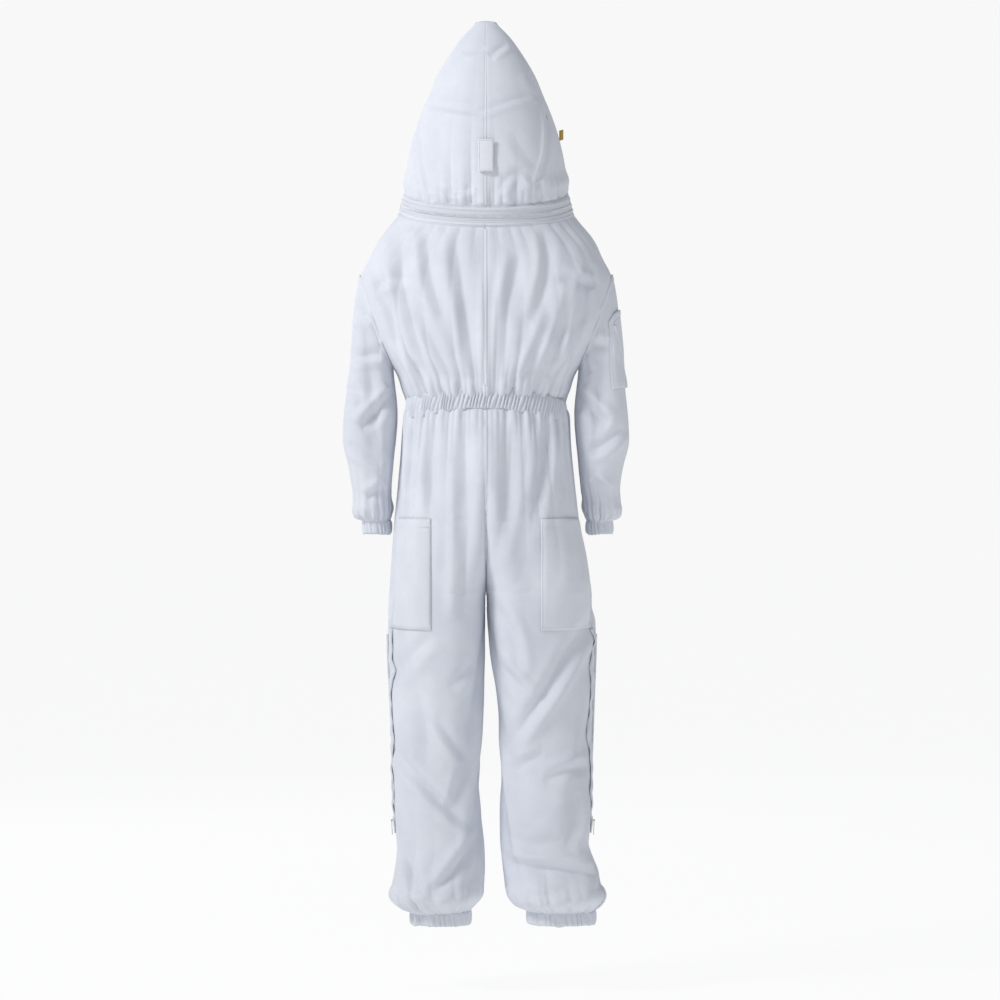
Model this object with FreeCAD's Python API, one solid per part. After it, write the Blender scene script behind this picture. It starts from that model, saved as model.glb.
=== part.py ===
import FreeCAD, Part
import math
import os

# A beekeeping coverall with a zip-on, self-supporting veiled hood, in the shape that it takes on a standing
# wearer.
#
# +Z is up, the front of the suit faces -Y and the wearer's left is +X. The origin is where the suit rests on
# the wearer: midway between the tops of the two shoulders. Cloth is drawn as closed panels of one thickness,
# cut along the real seams. The legs and sleeves are cut from the body where the wearer's hips and shoulders
# bend them.

os.makedirs("parts", exist_ok=True)
V = FreeCAD.Vector

# Driving dimensions, in millimetres and degrees
CLOTH = 2.0  # thickness of a cloth panel
LAYER_GAP = 0.4  # air between two layers that are sewn together
PATCH = 1.6  # thickness of a pocket or casing on top of a panel
TAPE = 1.2  # thickness of a zip tape, an elastic or a hoop
ELASTIC_INSET = 4.0  # distance from a casing's edge to the elastic in it
BODY_GAP = 2.0  # clearance between pieces that move against each other
REACH = 3000.0  # larger than the suit, for cutting tools
SECTION_POINTS = 32  # points round one cross-section
ROW_STEP = 28.0  # the largest height between two cross-sections
GATHER_STEP = 6.5  # the same near a gathered end, where the cloth turns in sharply
GATHERED_ROWS = 3  # rows of a limb's table that are near its gathered end
CREST = 15.0  # how softly the neckline turns over the top of the shoulder
LEG_SQUARENESS = 2.3  # 2 is an ellipse, and more is squarer
SLEEVE_SQUARENESS = 2.2

RING_R = 163.0  # radius of the neck zip, in the plane of its front half
RING_FRONT_TILT = 38.0  # the front half of the neck zip slopes down the chest
RING_REAR_TILT = 17.0  # the rear half slopes down the back
RING_REAR = 120.0  # how far the neck zip reaches behind the shoulders
RING_LEAN = 0.2  # the band narrows by this much for each millimetre of its height
HALF_BAND = 13.0  # width of each of the band's two tapes
TRIMMED = 1.0  # the lower tape is this much narrower, clear of the chest panels
CLOTH_AT_BAND = 16.0  # height above or below the zip at which the cloth starts

WAIST_Z = -385.0
HIP_Z = -700.0  # height of the hip's swing axis
HIP_R = 165.0  # radius of the curved joint between the seat and the legs
HEM_Z = -1388.0
ANKLE_CASING_Z = -1361.0
WRIST_Z = -637.0
WRIST_CASING_Z = -611.0
SIDE_SEAM_Y = 25.0  # the trousers' side seams lie a little behind the middle
ARMHOLE_TOP = (243.0, -145.0)  # x and z of the armhole seam's highest point
ARMHOLE_LEAN = 20.0  # the seam's plane leans inwards below it
WAIST_CASING = (-407.0, -363.0)  # lowest and highest point, as for each pocket below
WAIST_CASING_Y = 30.0  # it runs round the back only, from here
THIGH_POCKET = (-815.0, -606.0)
THIGH_POCKET_X = 104.0  # its inner edge
THIGH_POCKET_Y = 37.0  # its outer edge, just behind the side seam
HIP_POCKET = (-565.0, -425.0)
HIP_POCKET_X = (82.0, 150.0)
CHEST_POCKET = (-300.0, -190.0)
CHEST_POCKET_X = (38.0, 148.0)
FRONT_POCKETS_Y = -60.0  # the front pockets lie in front of this
SLEEVE_POCKET = (-355.0, -205.0)
SLEEVE_POCKET_X = 235.0  # it lies outside this
SLEEVE_POCKET_HALF = 45.0  # half its width, from front to back
LABEL = 0.8  # thickness of a label or tag

SLOT = 1.2  # half of the gap between two facing zip tapes
ZIP_TAPE = 13.0  # distance from the middle of a zip to a tape's outer edge
CHAIN = 2.5  # half width of the closed teeth
CHAIN_HEIGHT = 1.5
CHAIN_CLEAR = 0.5  # a straight chain or slider stands this much clear of a tape that curves
NECK_CLEAR = 1.1  # the same for the neck slider, whose tape leans
FRONT_ZIP = (-588.0, -150.0)  # lowest and highest point
FRONT_ZIP_Y = -128.4
LEG_ZIP = (-1200.0, -830.0)
LEG_MIDDLE = 100.0  # somewhere inside each leg
STOP_HEIGHT = 3.0  # with the gap between a stop and the teeth
STOP_GAP = 0.5
STOP_HALF = 3.0
STOP_OUT = 2.6
SLIDER_START = 1.0  # from a stop to a slider at rest
SLIDER_HALF = 7.0  # half length of a slider
SLIDER_SIDE = 5.0  # its half width
SLIDER_BASE = 0.6  # its lowest and highest faces, from the tape's face
SLIDER_FACE = 5.0
SLIDER_ROUND = 1.4
SLIDER_CHANNEL = 1.3  # room round the teeth in it
LUG = (2.9, 4.3)  # a lug's faces, from the slider's middle
LUG_HALF = 1.6  # half its length
PIN_R = 0.9  # the pin that a pull hangs from
PIN_HALF = 3.6
PIN_OUT = 7.4  # distance from the tape's face to that pin
PIN_FIT = 0.1
EYE_R = 1.9
EYE_HALF = 2.3
PULL_THICK = 1.4
PULL_HALF = 3.6
PULL_NECK = 10.0  # length of its narrow top
PULL_LENGTH = 28.0
PULL_HOLE = (3.0, 10.0, 1.8)  # its lower and upper end, above the pull's own end, and its half width

FRONT_HOOP = (-45.0, 0.10)  # y at the height of the shoulders, and how it changes with height
REAR_HOOP = (62.0, -0.175)
HOOP_WIDTH = 6.0
CHIN_HEIGHT = 36.0  # the cloth under the veil
TAB = (30.0, 62.0, 115.0)  # width, length and height of the top edge of the hood's fastening tab
TAB_Y = 118.5  # its inner face
TAG = (-2.0, 6.0, 112.0, 130.0)  # y and z range of the small tag on the hood's right side
SIZE_LABEL = (12.0, 42.0, -122.0, -62.0)  # x and z range of the label inside the back

# Cross-sections from the top down. Torso and hood: height of the side points, half width, reach to the front
# and to the rear, slope of the front and of the rear half, squareness. The hood's rows end with its middle's y.
TORSO = [
    (-16, 166, 124, 119, 38, 17, 2.0),
    (-41, 190, 128, 125, 34.5, 14, 2.2),
    (-66, 215, 128, 131, 31, 11.5, 2.4),
    (-105, 233, 127, 136, 27, 9, 2.5),
    (-145, 243, 126, 139, 21, 6, 2.6),
    (-200, 237, 126, 142, 13, 3, 2.6),
    (-260, 214, 126, 141, 7, 1, 2.6),
    (-300, 191, 126, 137, 3, 0, 2.5),
    (-325, 174, 126, 132, 0, 0, 2.4),
    (WAIST_Z, 154, 126, 112, 0, 0, 2.3),
]
HOOD = [
    (355, 19, 12, 10, 0, 0, 2.1, -12),
    (345, 25, 24, 20, 0, 0, 2.1, -12),
    (322, 47, 46, 38, 0, 0, 2.1, -12),
    (290, 70, 72, 58, 0, 0, 2.1, -12),
    (250, 94, 100, 80, 0, 0, 2.1, -12),
    (205, 113, 126, 100, 0, 0, 2.1, -12),
    (160, 131, 146, 114, 0, 0, 2.1, -12),
    (115, 144, 156, 122, 4, 0, 2.1, -10),
    (75, 151, 155, 124, 12, 3, 2.1, -8),
    (38, 152, 141, 118, 26, 8, 2.1, -4),
    (16, 159, 114, 116, 38, 17, 2.0, 0),
]
# Legs and sleeves: height, distance of the inner and the outer side from the suit's middle, reach to front
# and rear. The wearer's right leg stands a little further out. Upper sleeves and cuffs have one reach for
# both, and then their middle's y.
HIPS = [
    (WAIST_Z, -154, 154, 126, 112),
    (-430, -158, 163, 126, 124),
    (-490, -140, 167, 126, 134),
    (-560, -105, 174, 126, 138),
    (-610, -75, 180, 127, 138),
]
LEFT_LEG = [
    (-680, -35, 183, 126, 133),
    (-747, 0, 187, 118, 123),
    (-800, 3, 190, 107, 115),
    (-844, 3, 190, 101, 109),
    (-922, 6, 186, 95, 102),
    (-1000, 12, 182, 91, 97),
    (-1078, 17, 178, 88, 95),
    (-1156, 14, 174, 88, 96),
    (-1234, 6, 170, 90, 99),
    (-1285, 3, 181, 95, 104),
    (-1325, 8, 178, 90, 98),
    (-1350, 26, 158, 74, 80),
    (ANKLE_CASING_Z, 31, 146, 62, 66),
    (HEM_Z, 31, 142, 58, 62),
]
RIGHT_LEG = [
    (-680, -35, 205, 126, 133),
    (-747, 0, 213, 118, 123),
    (-800, 3, 213, 107, 115),
    (-844, 8, 212, 101, 109),
    (-922, 22, 209, 95, 102),
    (-1000, 32, 206, 91, 97),
    (-1078, 34, 203, 88, 95),
    (-1156, 28, 200, 88, 96),
    (-1234, 30, 197, 90, 99),
    (-1285, 34, 225, 95, 104),
    (-1325, 42, 224, 90, 98),
    (-1350, 62, 214, 74, 80),
    (ANKLE_CASING_Z, 80, 210, 62, 66),
    (HEM_Z, 82, 208, 58, 62),
]
UPPER_SLEEVE = [
    (-110, 170, 229, 58, 0),
    (-145, 165, 243, 64, 0),
    (-181, 165, 257, 66, 0),
    (-259, 165, 266, 66, 0),
    (-310, 172, 270, 64, 0),
    (-337, 172, 276, 63, 2),
    (-376, 168, 279, 62, 4),
    (-415, 166, 281, 61, 5),
    (-454, 169, 280, 57, 0),
    (-493, 172, 270, 54, -8),
    (-532, 176, 262, 50, -17),
]
LEFT_CUFF = [
    (-571, 181, 255, 43, -26),
    (-600, 185, 250, 37, -30),
    (WRIST_CASING_Z, 186, 238, 32, -32),
    (WRIST_Z, 187, 236, 30, -35),
]
RIGHT_CUFF = [
    (-571, 187, 258, 43, -26),
    (-600, 194, 254, 37, -30),
    (WRIST_CASING_Z, 196, 243, 32, -32),
    (WRIST_Z, 198, 243, 30, -35),
]


# Files


def save(name, *shapes):
    """Writes one node, after making sure that it holds closed solids only."""
    solids = [s for shape in shapes for s in shape.Solids]
    assert solids, f"{name} has no solid"
    for s in solids:
        assert s.isValid() and s.Volume > 0, f"{name} isn't a valid solid"
    (solids[0] if len(solids) == 1 else Part.makeCompound(solids)).exportStep(f"parts/{name}.step")


def mirrored(shape):
    """The same piece on the wearer's other side."""
    return shape.mirror(V(0, 0, 0), V(1, 0, 0))


def save_both(name, left_shape):
    save(f"{name}_left", left_shape)
    save(f"{name}_right", mirrored(left_shape))


# Curves, tubes and cutting tools


def block(x0, x1, y0, y1, z0, z1):
    return Part.makeBox(x1 - x0, y1 - y0, z1 - z0, V(x0, y0, z0))


LEFT_SIDE = block(0, REACH, -REACH, REACH, -REACH, REACH)


def level_slice(z_low, z_high):
    """Everything on the left between two heights."""
    return block(0, REACH, -REACH, REACH, z_low, z_high)


def slopes(heights, values):
    """Slopes that join a column's values without overshooting them."""
    steps = [(b - a) / (hb - ha) for a, b, ha, hb in zip(values, values[1:], heights, heights[1:])]
    inner = [0.0 if a * b <= 0 else 2 * a * b / (a + b) for a, b in zip(steps, steps[1:])]
    return [steps[0], *inner, steps[-1]]


def refined(table, gathered=0):
    """The table's rows with smooth rows between them, closer together in the last, gathered ones."""
    columns = list(zip(*table))
    heights = columns[0]
    leans = [slopes(heights, column) for column in columns]
    rows = []
    for i in range(len(table) - 1):
        gap = heights[i + 1] - heights[i]
        step = ROW_STEP if i < len(table) - 1 - gathered else GATHER_STEP
        count = math.ceil(abs(gap) / step)
        for k in range(count):
            t = k / count
            row = []
            for column, lean in zip(columns, leans):
                start = (1 + 2 * t) * (1 - t) ** 2 * column[i] + t * (1 - t) ** 2 * gap * lean[i]
                end = t * t * (3 - 2 * t) * column[i + 1] + t * t * (t - 1) * gap * lean[i + 1]
                row.append(start + end)
            rows.append(row)
    return rows + [list(table[-1])]


def gathered_count(table):
    """How many rows follow the one where a limb's gathered end starts."""
    return len(refined(table[-1 - GATHERED_ROWS :], GATHERED_ROWS)) - 1


def signed_power(value, exponent):
    return math.copysign(abs(value) ** exponent, value)


def section_points(z, half, front, rear, front_tilt, rear_tilt, squareness, y_mid=0.0, x_mid=0.0):
    """Points round a superellipse whose front and rear halves may slope down from its sides."""
    points = []
    for i in range(SECTION_POINTS):
        angle = 2 * math.pi * i / SECTION_POINTS
        x = half * signed_power(math.cos(angle), 2 / squareness)
        y = (rear if math.sin(angle) > 0 else front) * signed_power(math.sin(angle), 2 / squareness)
        slope = math.tan(math.radians(rear_tilt if y > 0 else front_tilt))
        points.append(V(x_mid + x, y_mid + y, z - slope * (math.hypot(y, CREST) - CREST)))
    return points


def limb_points(z, inner, outer, front, rear, squareness, y_mid, grow):
    half, middle = (outer - inner) / 2, (outer + inner) / 2
    return section_points(z, half + grow, front + grow, rear + grow, 0, 0, squareness, y_mid, middle)


def closed_curve(points):
    """A smooth closed curve. All curves share one set of knots, so the surfaces between them stay light."""
    curve = Part.BSplineCurve()
    knots = [float(i) for i in range(len(points) + 1)]
    curve.interpolate(Points=points, PeriodicFlag=True, Parameters=knots)
    return Part.Wire([curve.toShape()])


def closed_solid(faces):
    shell = Part.makeShell(faces)
    shell.sewShape()
    solid = Part.makeSolid(Part.Shell(shell.Faces))
    if solid.Volume < 0:
        solid.reverse()
    return solid


def rim(wire_a, wire_b):
    return Part.makeRuledSurface(wire_a.Edges[0], wire_b.Edges[0]).Faces


def skin(curves, last):
    """A smooth surface through a stack of curves. The last ones, closer together, are a length of their own."""
    lengths = [curves[:-last], curves[-last - 1 :]] if last else [curves]
    faces = []
    for length in lengths:
        faces += Part.makeLoft(length, False, False).Faces
    return faces


def tube(outer, inner, capped=False, last=0):
    """A wall between two stacks of closed curves. A capped tube is closed at its first curve."""
    faces = skin(outer, last) + skin(inner, last)
    faces += rim(outer[-1], inner[-1])
    faces += [Part.Face(outer[0]), Part.Face(inner[0])] if capped else rim(outer[0], inner[0])
    return closed_solid(faces)


def beside_line(offset, slope, behind):
    """Everything behind, or in front of, the plane y = offset + slope * z."""
    near, far = (0, REACH) if behind else (-REACH, 0)
    tool = block(-REACH, REACH, near, far, -REACH, REACH)
    tool.rotate(V(0, 0, 0), V(1, 0, 0), -math.degrees(math.atan(slope)))
    tool.translate(V(0, offset, 0))
    return tool


def between_lines(front_line, rear_line):
    return beside_line(*front_line, True).common(beside_line(*rear_line, False))


def armhole_side(outside, gap):
    """Everything on the sleeve's side, or on the body's side, of the left armhole seam."""
    near, far = (gap, REACH) if outside else (-REACH, gap)
    tool = block(near, far, -REACH, REACH, -REACH, REACH)
    tool.rotate(V(0, 0, 0), V(0, 1, 0), ARMHOLE_LEAN)
    tool.translate(V(ARMHOLE_TOP[0], 0, ARMHOLE_TOP[1]))
    return tool


def leg_side(radius):
    """Everything below the curved hip joint."""
    barrel = Part.makeCylinder(radius, 2 * REACH, V(-REACH, 0, HIP_Z), V(1, 0, 0))
    return barrel.fuse(block(-REACH, REACH, -REACH, REACH, -REACH, HIP_Z))


# Walls of cloth, between two distances from the outer face of the suit


def torso_wall(low, high):
    def curve(grow, z, half, front, rear, *shape):
        return closed_curve(section_points(z, half + grow, front + grow, rear + grow, *shape))

    def curves(grow):
        return [curve(grow, *row) for row in refined(TORSO)]

    return tube(curves(high), curves(low))


def trouser_wall(leg_rows, low, high):
    """A leg with its half of the hips, as the left one; its cut at x = 0 is the centre seam."""

    def curves(grow):
        rows = refined(HIPS + leg_rows, GATHERED_ROWS)
        return [closed_curve(limb_points(*row, LEG_SQUARENESS, 0, grow)) for row in rows]

    return tube(curves(high), curves(low), last=gathered_count(leg_rows)).common(LEFT_SIDE)


def sleeve_wall(cuff_rows, low, high):
    """A sleeve, as the left one, cut off along the armhole."""

    def curves(grow):
        rows = refined(UPPER_SLEEVE + cuff_rows, GATHERED_ROWS)
        shapes = [(z, inner, outer, reach, reach, SLEEVE_SQUARENESS, y) for z, inner, outer, reach, y in rows]
        return [closed_curve(limb_points(*shape, grow)) for shape in shapes]

    return tube(curves(high), curves(low), last=gathered_count(cuff_rows)).cut(armhole_side(False, BODY_GAP))


def hood_wall(low, high):
    def curve(grow, z, half, front, rear, *shape):
        return closed_curve(section_points(z, half + grow, front + grow, rear + grow, *shape))

    def curves(grow):
        rows = refined(HOOD)
        rows[0][0] += grow
        return [curve(grow, *row) for row in rows]

    return tube(curves(high), curves(low), capped=True)


# Zips


def band_points(height, out):
    """Points round the neck band, at a height above its zip and a distance out from its inner face."""
    radius = RING_R - RING_LEAN * height + out
    front = radius * math.cos(math.radians(RING_FRONT_TILT))
    rear = RING_REAR * radius / RING_R
    points = []
    for p in section_points(0, radius, front, rear, RING_FRONT_TILT, RING_REAR_TILT, 2.0):
        front_share = 0.5 * (1 - p.y / math.hypot(p.y, CREST))
        tilt = math.radians(front_share * RING_FRONT_TILT - (1 - front_share) * RING_REAR_TILT)
        points.append(p + V(0, -math.sin(tilt), math.cos(tilt)) * height)
    return points


def band(low, high, near, far):
    """A strip round the neck, between two heights and two distances out."""
    corners = [closed_curve(band_points(*c)) for c in ((low, near), (low, far), (high, far), (high, near))]
    faces = []
    for a, b in zip(corners, corners[1:] + corners[:1]):
        faces += rim(a, b)
    return closed_solid(faces)


def slider_body():
    """A slider: x across the zip, y out from the tape's face, z up along the zip."""
    body = block(-SLIDER_SIDE, SLIDER_SIDE, SLIDER_BASE, SLIDER_FACE, -SLIDER_HALF, SLIDER_HALF)
    upper = [e for e in body.Edges if e.BoundBox.ZLength > SLIDER_HALF and e.CenterOfMass.y > SLIDER_FACE / 2]
    body = body.makeFillet(SLIDER_ROUND, upper)
    channel = CHAIN + SLIDER_CHANNEL
    body = body.cut(block(-channel, channel, 0, CHAIN_HEIGHT + SLIDER_CHANNEL, -SLIDER_HALF, SLIDER_HALF))
    lug = block(*LUG, SLIDER_FACE - LAYER_GAP, PIN_OUT + SLIDER_ROUND, -LUG_HALF, LUG_HALF)
    pin = Part.makeCylinder(PIN_R, 2 * PIN_HALF, V(-PIN_HALF, PIN_OUT, 0), V(1, 0, 0))
    return body.fuse([lug, mirrored(lug), pin]).removeSplitter()


def hanging_pull():
    """The pull on that slider's pin, hanging straight down."""
    near, far = PIN_OUT - PULL_THICK / 2, PIN_OUT + PULL_THICK / 2
    eye = Part.makeCylinder(EYE_R, 2 * EYE_HALF, V(-EYE_HALF, PIN_OUT, 0), V(1, 0, 0))
    neck = block(-EYE_HALF, EYE_HALF, near, far, -PULL_NECK, 0)
    low, high, half = PULL_HOLE
    hole = block(-half, half, near, far, low - PULL_LENGTH, high - PULL_LENGTH)
    grip = block(-PULL_HALF, PULL_HALF, near, far, -PULL_LENGTH, -PULL_NECK).cut(hole)
    bore = Part.makeCylinder(PIN_R + PIN_FIT, 2 * PIN_HALF, V(-PIN_HALF, PIN_OUT, 0), V(1, 0, 0))
    return eye.fuse([neck, grip]).removeSplitter().cut(bore)


def placed(shape, origin, outward, along):
    """A zip piece moved from its own axes to a place on the suit."""
    z_axis = V(*along).normalize()
    y_axis = V(*outward).normalize()
    x_axis = y_axis.cross(z_axis)
    rotation = FreeCAD.Rotation(x_axis, y_axis, z_axis, "ZXY")
    moved = shape.copy()
    moved.Placement = FreeCAD.Placement(V(*origin), rotation)
    return moved


def chain_and_stops(low, high):
    """Closed teeth from one stop to the other, in a slider's own axes."""
    teeth = block(-CHAIN, CHAIN, LAYER_GAP, LAYER_GAP + CHAIN_HEIGHT, low + STOP_HEIGHT, high - STOP_HEIGHT)
    stop = block(-STOP_HALF, STOP_HALF, LAYER_GAP, STOP_OUT, low, low + STOP_HEIGHT - STOP_GAP)
    other_stop = stop.translated(V(0, 0, high - low - STOP_HEIGHT + STOP_GAP))
    return [teeth, stop, other_stop]


# Sub-parts


def build_torso():
    left = torso_wall(-CLOTH, 0).common(LEFT_SIDE).cut(armhole_side(True, 0))
    save_both("back_panel", left.common(block(0, REACH, 0, REACH, -REACH, REACH)))
    slot = block(-SLOT, SLOT, -REACH, 0, *FRONT_ZIP)
    save_both("front_panel", left.common(block(0, REACH, -REACH, 0, -REACH, REACH)).cut(slot))
    area = block(*CHEST_POCKET_X, -REACH, FRONT_POCKETS_Y, *CHEST_POCKET)
    pocket = torso_wall(LAYER_GAP, LAYER_GAP + PATCH).common(area)
    save("chest_pockets", pocket, mirrored(pocket))
    x0, x1, z0, z1 = SIZE_LABEL
    lining = torso_wall(-CLOTH - LAYER_GAP - LABEL, -CLOTH - LAYER_GAP)
    save("size_label", lining.common(block(x0, x1, 0, REACH, z0, z1)))


def build_trousers(side, leg_rows, turn):
    """The half of the trousers on one side, where turn puts a left piece on that side."""
    wall = trouser_wall(leg_rows, -CLOTH, 0)
    patch = trouser_wall(leg_rows, LAYER_GAP, LAYER_GAP + PATCH)
    leg = wall.common(leg_side(HIP_R)).cut(block(0, BODY_GAP / 2, -REACH, REACH, -REACH, REACH))
    top = wall.cut(leg_side(HIP_R + BODY_GAP)).cut(block(-SLOT, SLOT, -REACH, 0, *FRONT_ZIP))
    rear_side = block(0, REACH, SIDE_SEAM_Y, REACH, -REACH, REACH)
    save(f"seat_panel_{side}", turn(top.common(rear_side)))
    save(f"lower_front_panel_{side}", turn(top.cut(rear_side)))
    save(f"leg_back_{side}", turn(leg.common(rear_side)))
    save(f"leg_front_{side}", turn(leg.cut(rear_side)))
    pocket = block(THIGH_POCKET_X, REACH, THIGH_POCKET_Y, REACH, *THIGH_POCKET)
    save(f"thigh_pocket_{side}", turn(patch.common(pocket)))
    save(f"ankle_casing_{side}", turn(patch.common(level_slice(HEM_Z, ANKLE_CASING_Z))))
    elastic = trouser_wall(leg_rows, -CLOTH - LAYER_GAP - TAPE, -CLOTH - LAYER_GAP)
    elastic = elastic.common(level_slice(HEM_Z + ELASTIC_INSET, ANKLE_CASING_Z - ELASTIC_INSET))
    save(f"ankle_elastic_{side}", turn(elastic))
    build_leg_zip(side, patch, leg_rows, turn)
    return patch


def build_leg_zip(side, patch, leg_rows, turn):
    tapes = patch.common(block(LEG_MIDDLE, REACH, -ZIP_TAPE, ZIP_TAPE, *LEG_ZIP))
    tapes = tapes.cut(block(0, REACH, -SLOT, SLOT, -REACH, REACH))
    save(f"leg_zip_tapes_{side}", turn(tapes))
    upper, lower = leg_rows[3], leg_rows[8]
    along = (upper[2] - lower[2], 0, upper[0] - lower[0])
    outward = (along[2], 0, -along[0])
    middle = sum(LEG_ZIP) / 2
    x = lower[2] + (middle - lower[0]) * along[0] / along[2] + LAYER_GAP + PATCH + CHAIN_CLEAR
    half = (LEG_ZIP[1] - LEG_ZIP[0]) / 2
    chain = chain_and_stops(-half, half)
    save(f"leg_zip_chain_{side}", *[turn(placed(s, (x, 0, middle), outward, along)) for s in chain])
    drop = half - STOP_HEIGHT - SLIDER_HALF - SLIDER_START
    length = math.hypot(along[0], along[2])
    at = (x - drop * along[0] / length, 0, middle - drop * along[2] / length)
    save(f"leg_slider_{side}", turn(placed(slider_body(), at, outward, along)))
    save(f"leg_pull_{side}", turn(placed(hanging_pull(), at, outward, along)))


def build_hip_pockets(patches):
    area = block(*HIP_POCKET_X, -REACH, FRONT_POCKETS_Y, *HIP_POCKET)
    pockets = [patch.common(area) for patch in patches]
    save("hip_pockets", pockets[0], mirrored(pockets[1]))


def build_waist():
    """The casing and its elastic, each in three lengths that meet: over the torso and over both trouser halves."""

    def belt(low, high, z_low, z_high):
        rear = block(-REACH, REACH, WAIST_CASING_Y, REACH, z_low, z_high)
        right = mirrored(trouser_wall(RIGHT_LEG, low, high))
        walls = [torso_wall(low, high), trouser_wall(LEFT_LEG, low, high), right]
        return [wall.common(rear) for wall in walls]

    z_low, z_high = WAIST_CASING
    save("waist_casing", *belt(LAYER_GAP, LAYER_GAP + PATCH, z_low, z_high))
    inner = -CLOTH - LAYER_GAP
    save("waist_elastic", *belt(inner - TAPE, inner, z_low + ELASTIC_INSET, z_high - ELASTIC_INSET))


def build_sleeve(side, cuff_rows, turn):
    wall = sleeve_wall(cuff_rows, -CLOTH, 0)
    save(f"sleeve_back_{side}", turn(wall.common(block(0, REACH, 0, REACH, -REACH, REACH))))
    save(f"sleeve_front_{side}", turn(wall.common(block(0, REACH, -REACH, 0, -REACH, REACH))))
    patch = sleeve_wall(cuff_rows, LAYER_GAP, LAYER_GAP + PATCH)
    save(f"wrist_casing_{side}", turn(patch.common(level_slice(WRIST_Z, WRIST_CASING_Z))))
    elastic = sleeve_wall(cuff_rows, -CLOTH - LAYER_GAP - TAPE, -CLOTH - LAYER_GAP)
    elastic = elastic.common(level_slice(WRIST_Z + ELASTIC_INSET, WRIST_CASING_Z - ELASTIC_INSET))
    save(f"wrist_elastic_{side}", turn(elastic))
    return patch


def build_hood():
    wall = hood_wall(-CLOTH, 0)
    save_both("hood_back", wall.common(beside_line(*REAR_HOOP, True)).common(LEFT_SIDE))
    save_both("hood_side", wall.common(between_lines(FRONT_HOOP, REAR_HOOP)).common(LEFT_SIDE))
    front = wall.common(beside_line(*FRONT_HOOP, False))
    chin = block(-REACH, REACH, -REACH, REACH, -REACH, 0)
    chin.rotate(V(0, 0, 0), V(1, 0, 0), RING_FRONT_TILT)
    chin.translate(V(0, 0, CREST * math.tan(math.radians(RING_FRONT_TILT)) + CHIN_HEIGHT))
    save("chin_panel", front.common(chin))
    save("veil_mesh", front.cut(chin))
    lining = hood_wall(-CLOTH - LAYER_GAP - TAPE, -CLOTH - LAYER_GAP)
    for name, (offset, slope) in (("hood_front_hoop", FRONT_HOOP), ("hood_rear_hoop", REAR_HOOP)):
        strip = between_lines((offset - HOOP_WIDTH / 2, slope), (offset + HOOP_WIDTH / 2, slope))
        save(name, lining.common(strip))
    y0, y1, z0, z1 = TAG
    outside = hood_wall(LAYER_GAP, LAYER_GAP + LABEL)
    save("hood_tag", outside.common(block(-REACH, 0, y0, y1, z0, z1)))
    width, length, top = TAB
    save("hood_tab", block(-width / 2, width / 2, TAB_Y, TAB_Y + CLOTH, top - length, top))


def build_neck_zip():
    save("neck_zip_tape", band(TRIMMED - HALF_BAND, -SLOT, 0, TAPE))
    save("hood_zip_tape", band(SLOT, HALF_BAND, 0, TAPE))
    near = TAPE + LAYER_GAP
    save("neck_zip_teeth", band(-CHAIN, -LAYER_GAP, near, near + CHAIN_HEIGHT))
    save("hood_zip_teeth", band(LAYER_GAP, CHAIN, near, near + CHAIN_HEIGHT))
    front = [p for p in band_points(0, TAPE + NECK_CLEAR) if abs(p.x) < 1 and p.y < 0][0]
    tilt = math.radians(RING_FRONT_TILT)
    outward = (0, -math.cos(tilt), -math.sin(tilt))
    save("neck_slider", placed(slider_body(), tuple(front), outward, (1, 0, 0)))
    save("neck_pull", placed(hanging_pull(), tuple(front), outward, (1, 0, 0)))


def build_front_zip():
    face = FRONT_ZIP_Y - LAYER_GAP - TAPE
    low, high = FRONT_ZIP
    tape = block(SLOT, ZIP_TAPE, face, face + TAPE, low, high)
    save("front_zip_tapes", tape, mirrored(tape))
    down = (0, -1, 0)
    middle = (low + high) / 2
    half = (high - low) / 2
    chain = chain_and_stops(-half, half)
    save("front_zip_chain", *[placed(s, (0, face, middle), down, (0, 0, 1)) for s in chain])
    at = (0, face, high - STOP_HEIGHT - SLIDER_HALF - SLIDER_START)
    save("front_slider", placed(slider_body(), at, down, (0, 0, 1)))
    save("front_pull", placed(hanging_pull(), at, down, (0, 0, 1)))


build_torso()
left_patch = build_trousers("left", LEFT_LEG, lambda shape: shape)
right_patch = build_trousers("right", RIGHT_LEG, mirrored)
build_hip_pockets([left_patch, right_patch])
build_waist()
build_sleeve("left", LEFT_CUFF, lambda shape: shape)
right_sleeve_patch = build_sleeve("right", RIGHT_CUFF, mirrored)
pen_area = block(SLEEVE_POCKET_X, REACH, -SLEEVE_POCKET_HALF, SLEEVE_POCKET_HALF, *SLEEVE_POCKET)
save("sleeve_pocket", mirrored(right_sleeve_patch.common(pen_area)))
build_hood()
build_neck_zip()
build_front_zip()
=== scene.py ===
import bpy
import bmesh
import json
import math
import numpy as np
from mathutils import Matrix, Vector
from mathutils.bvhtree import BVHTree


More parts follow.
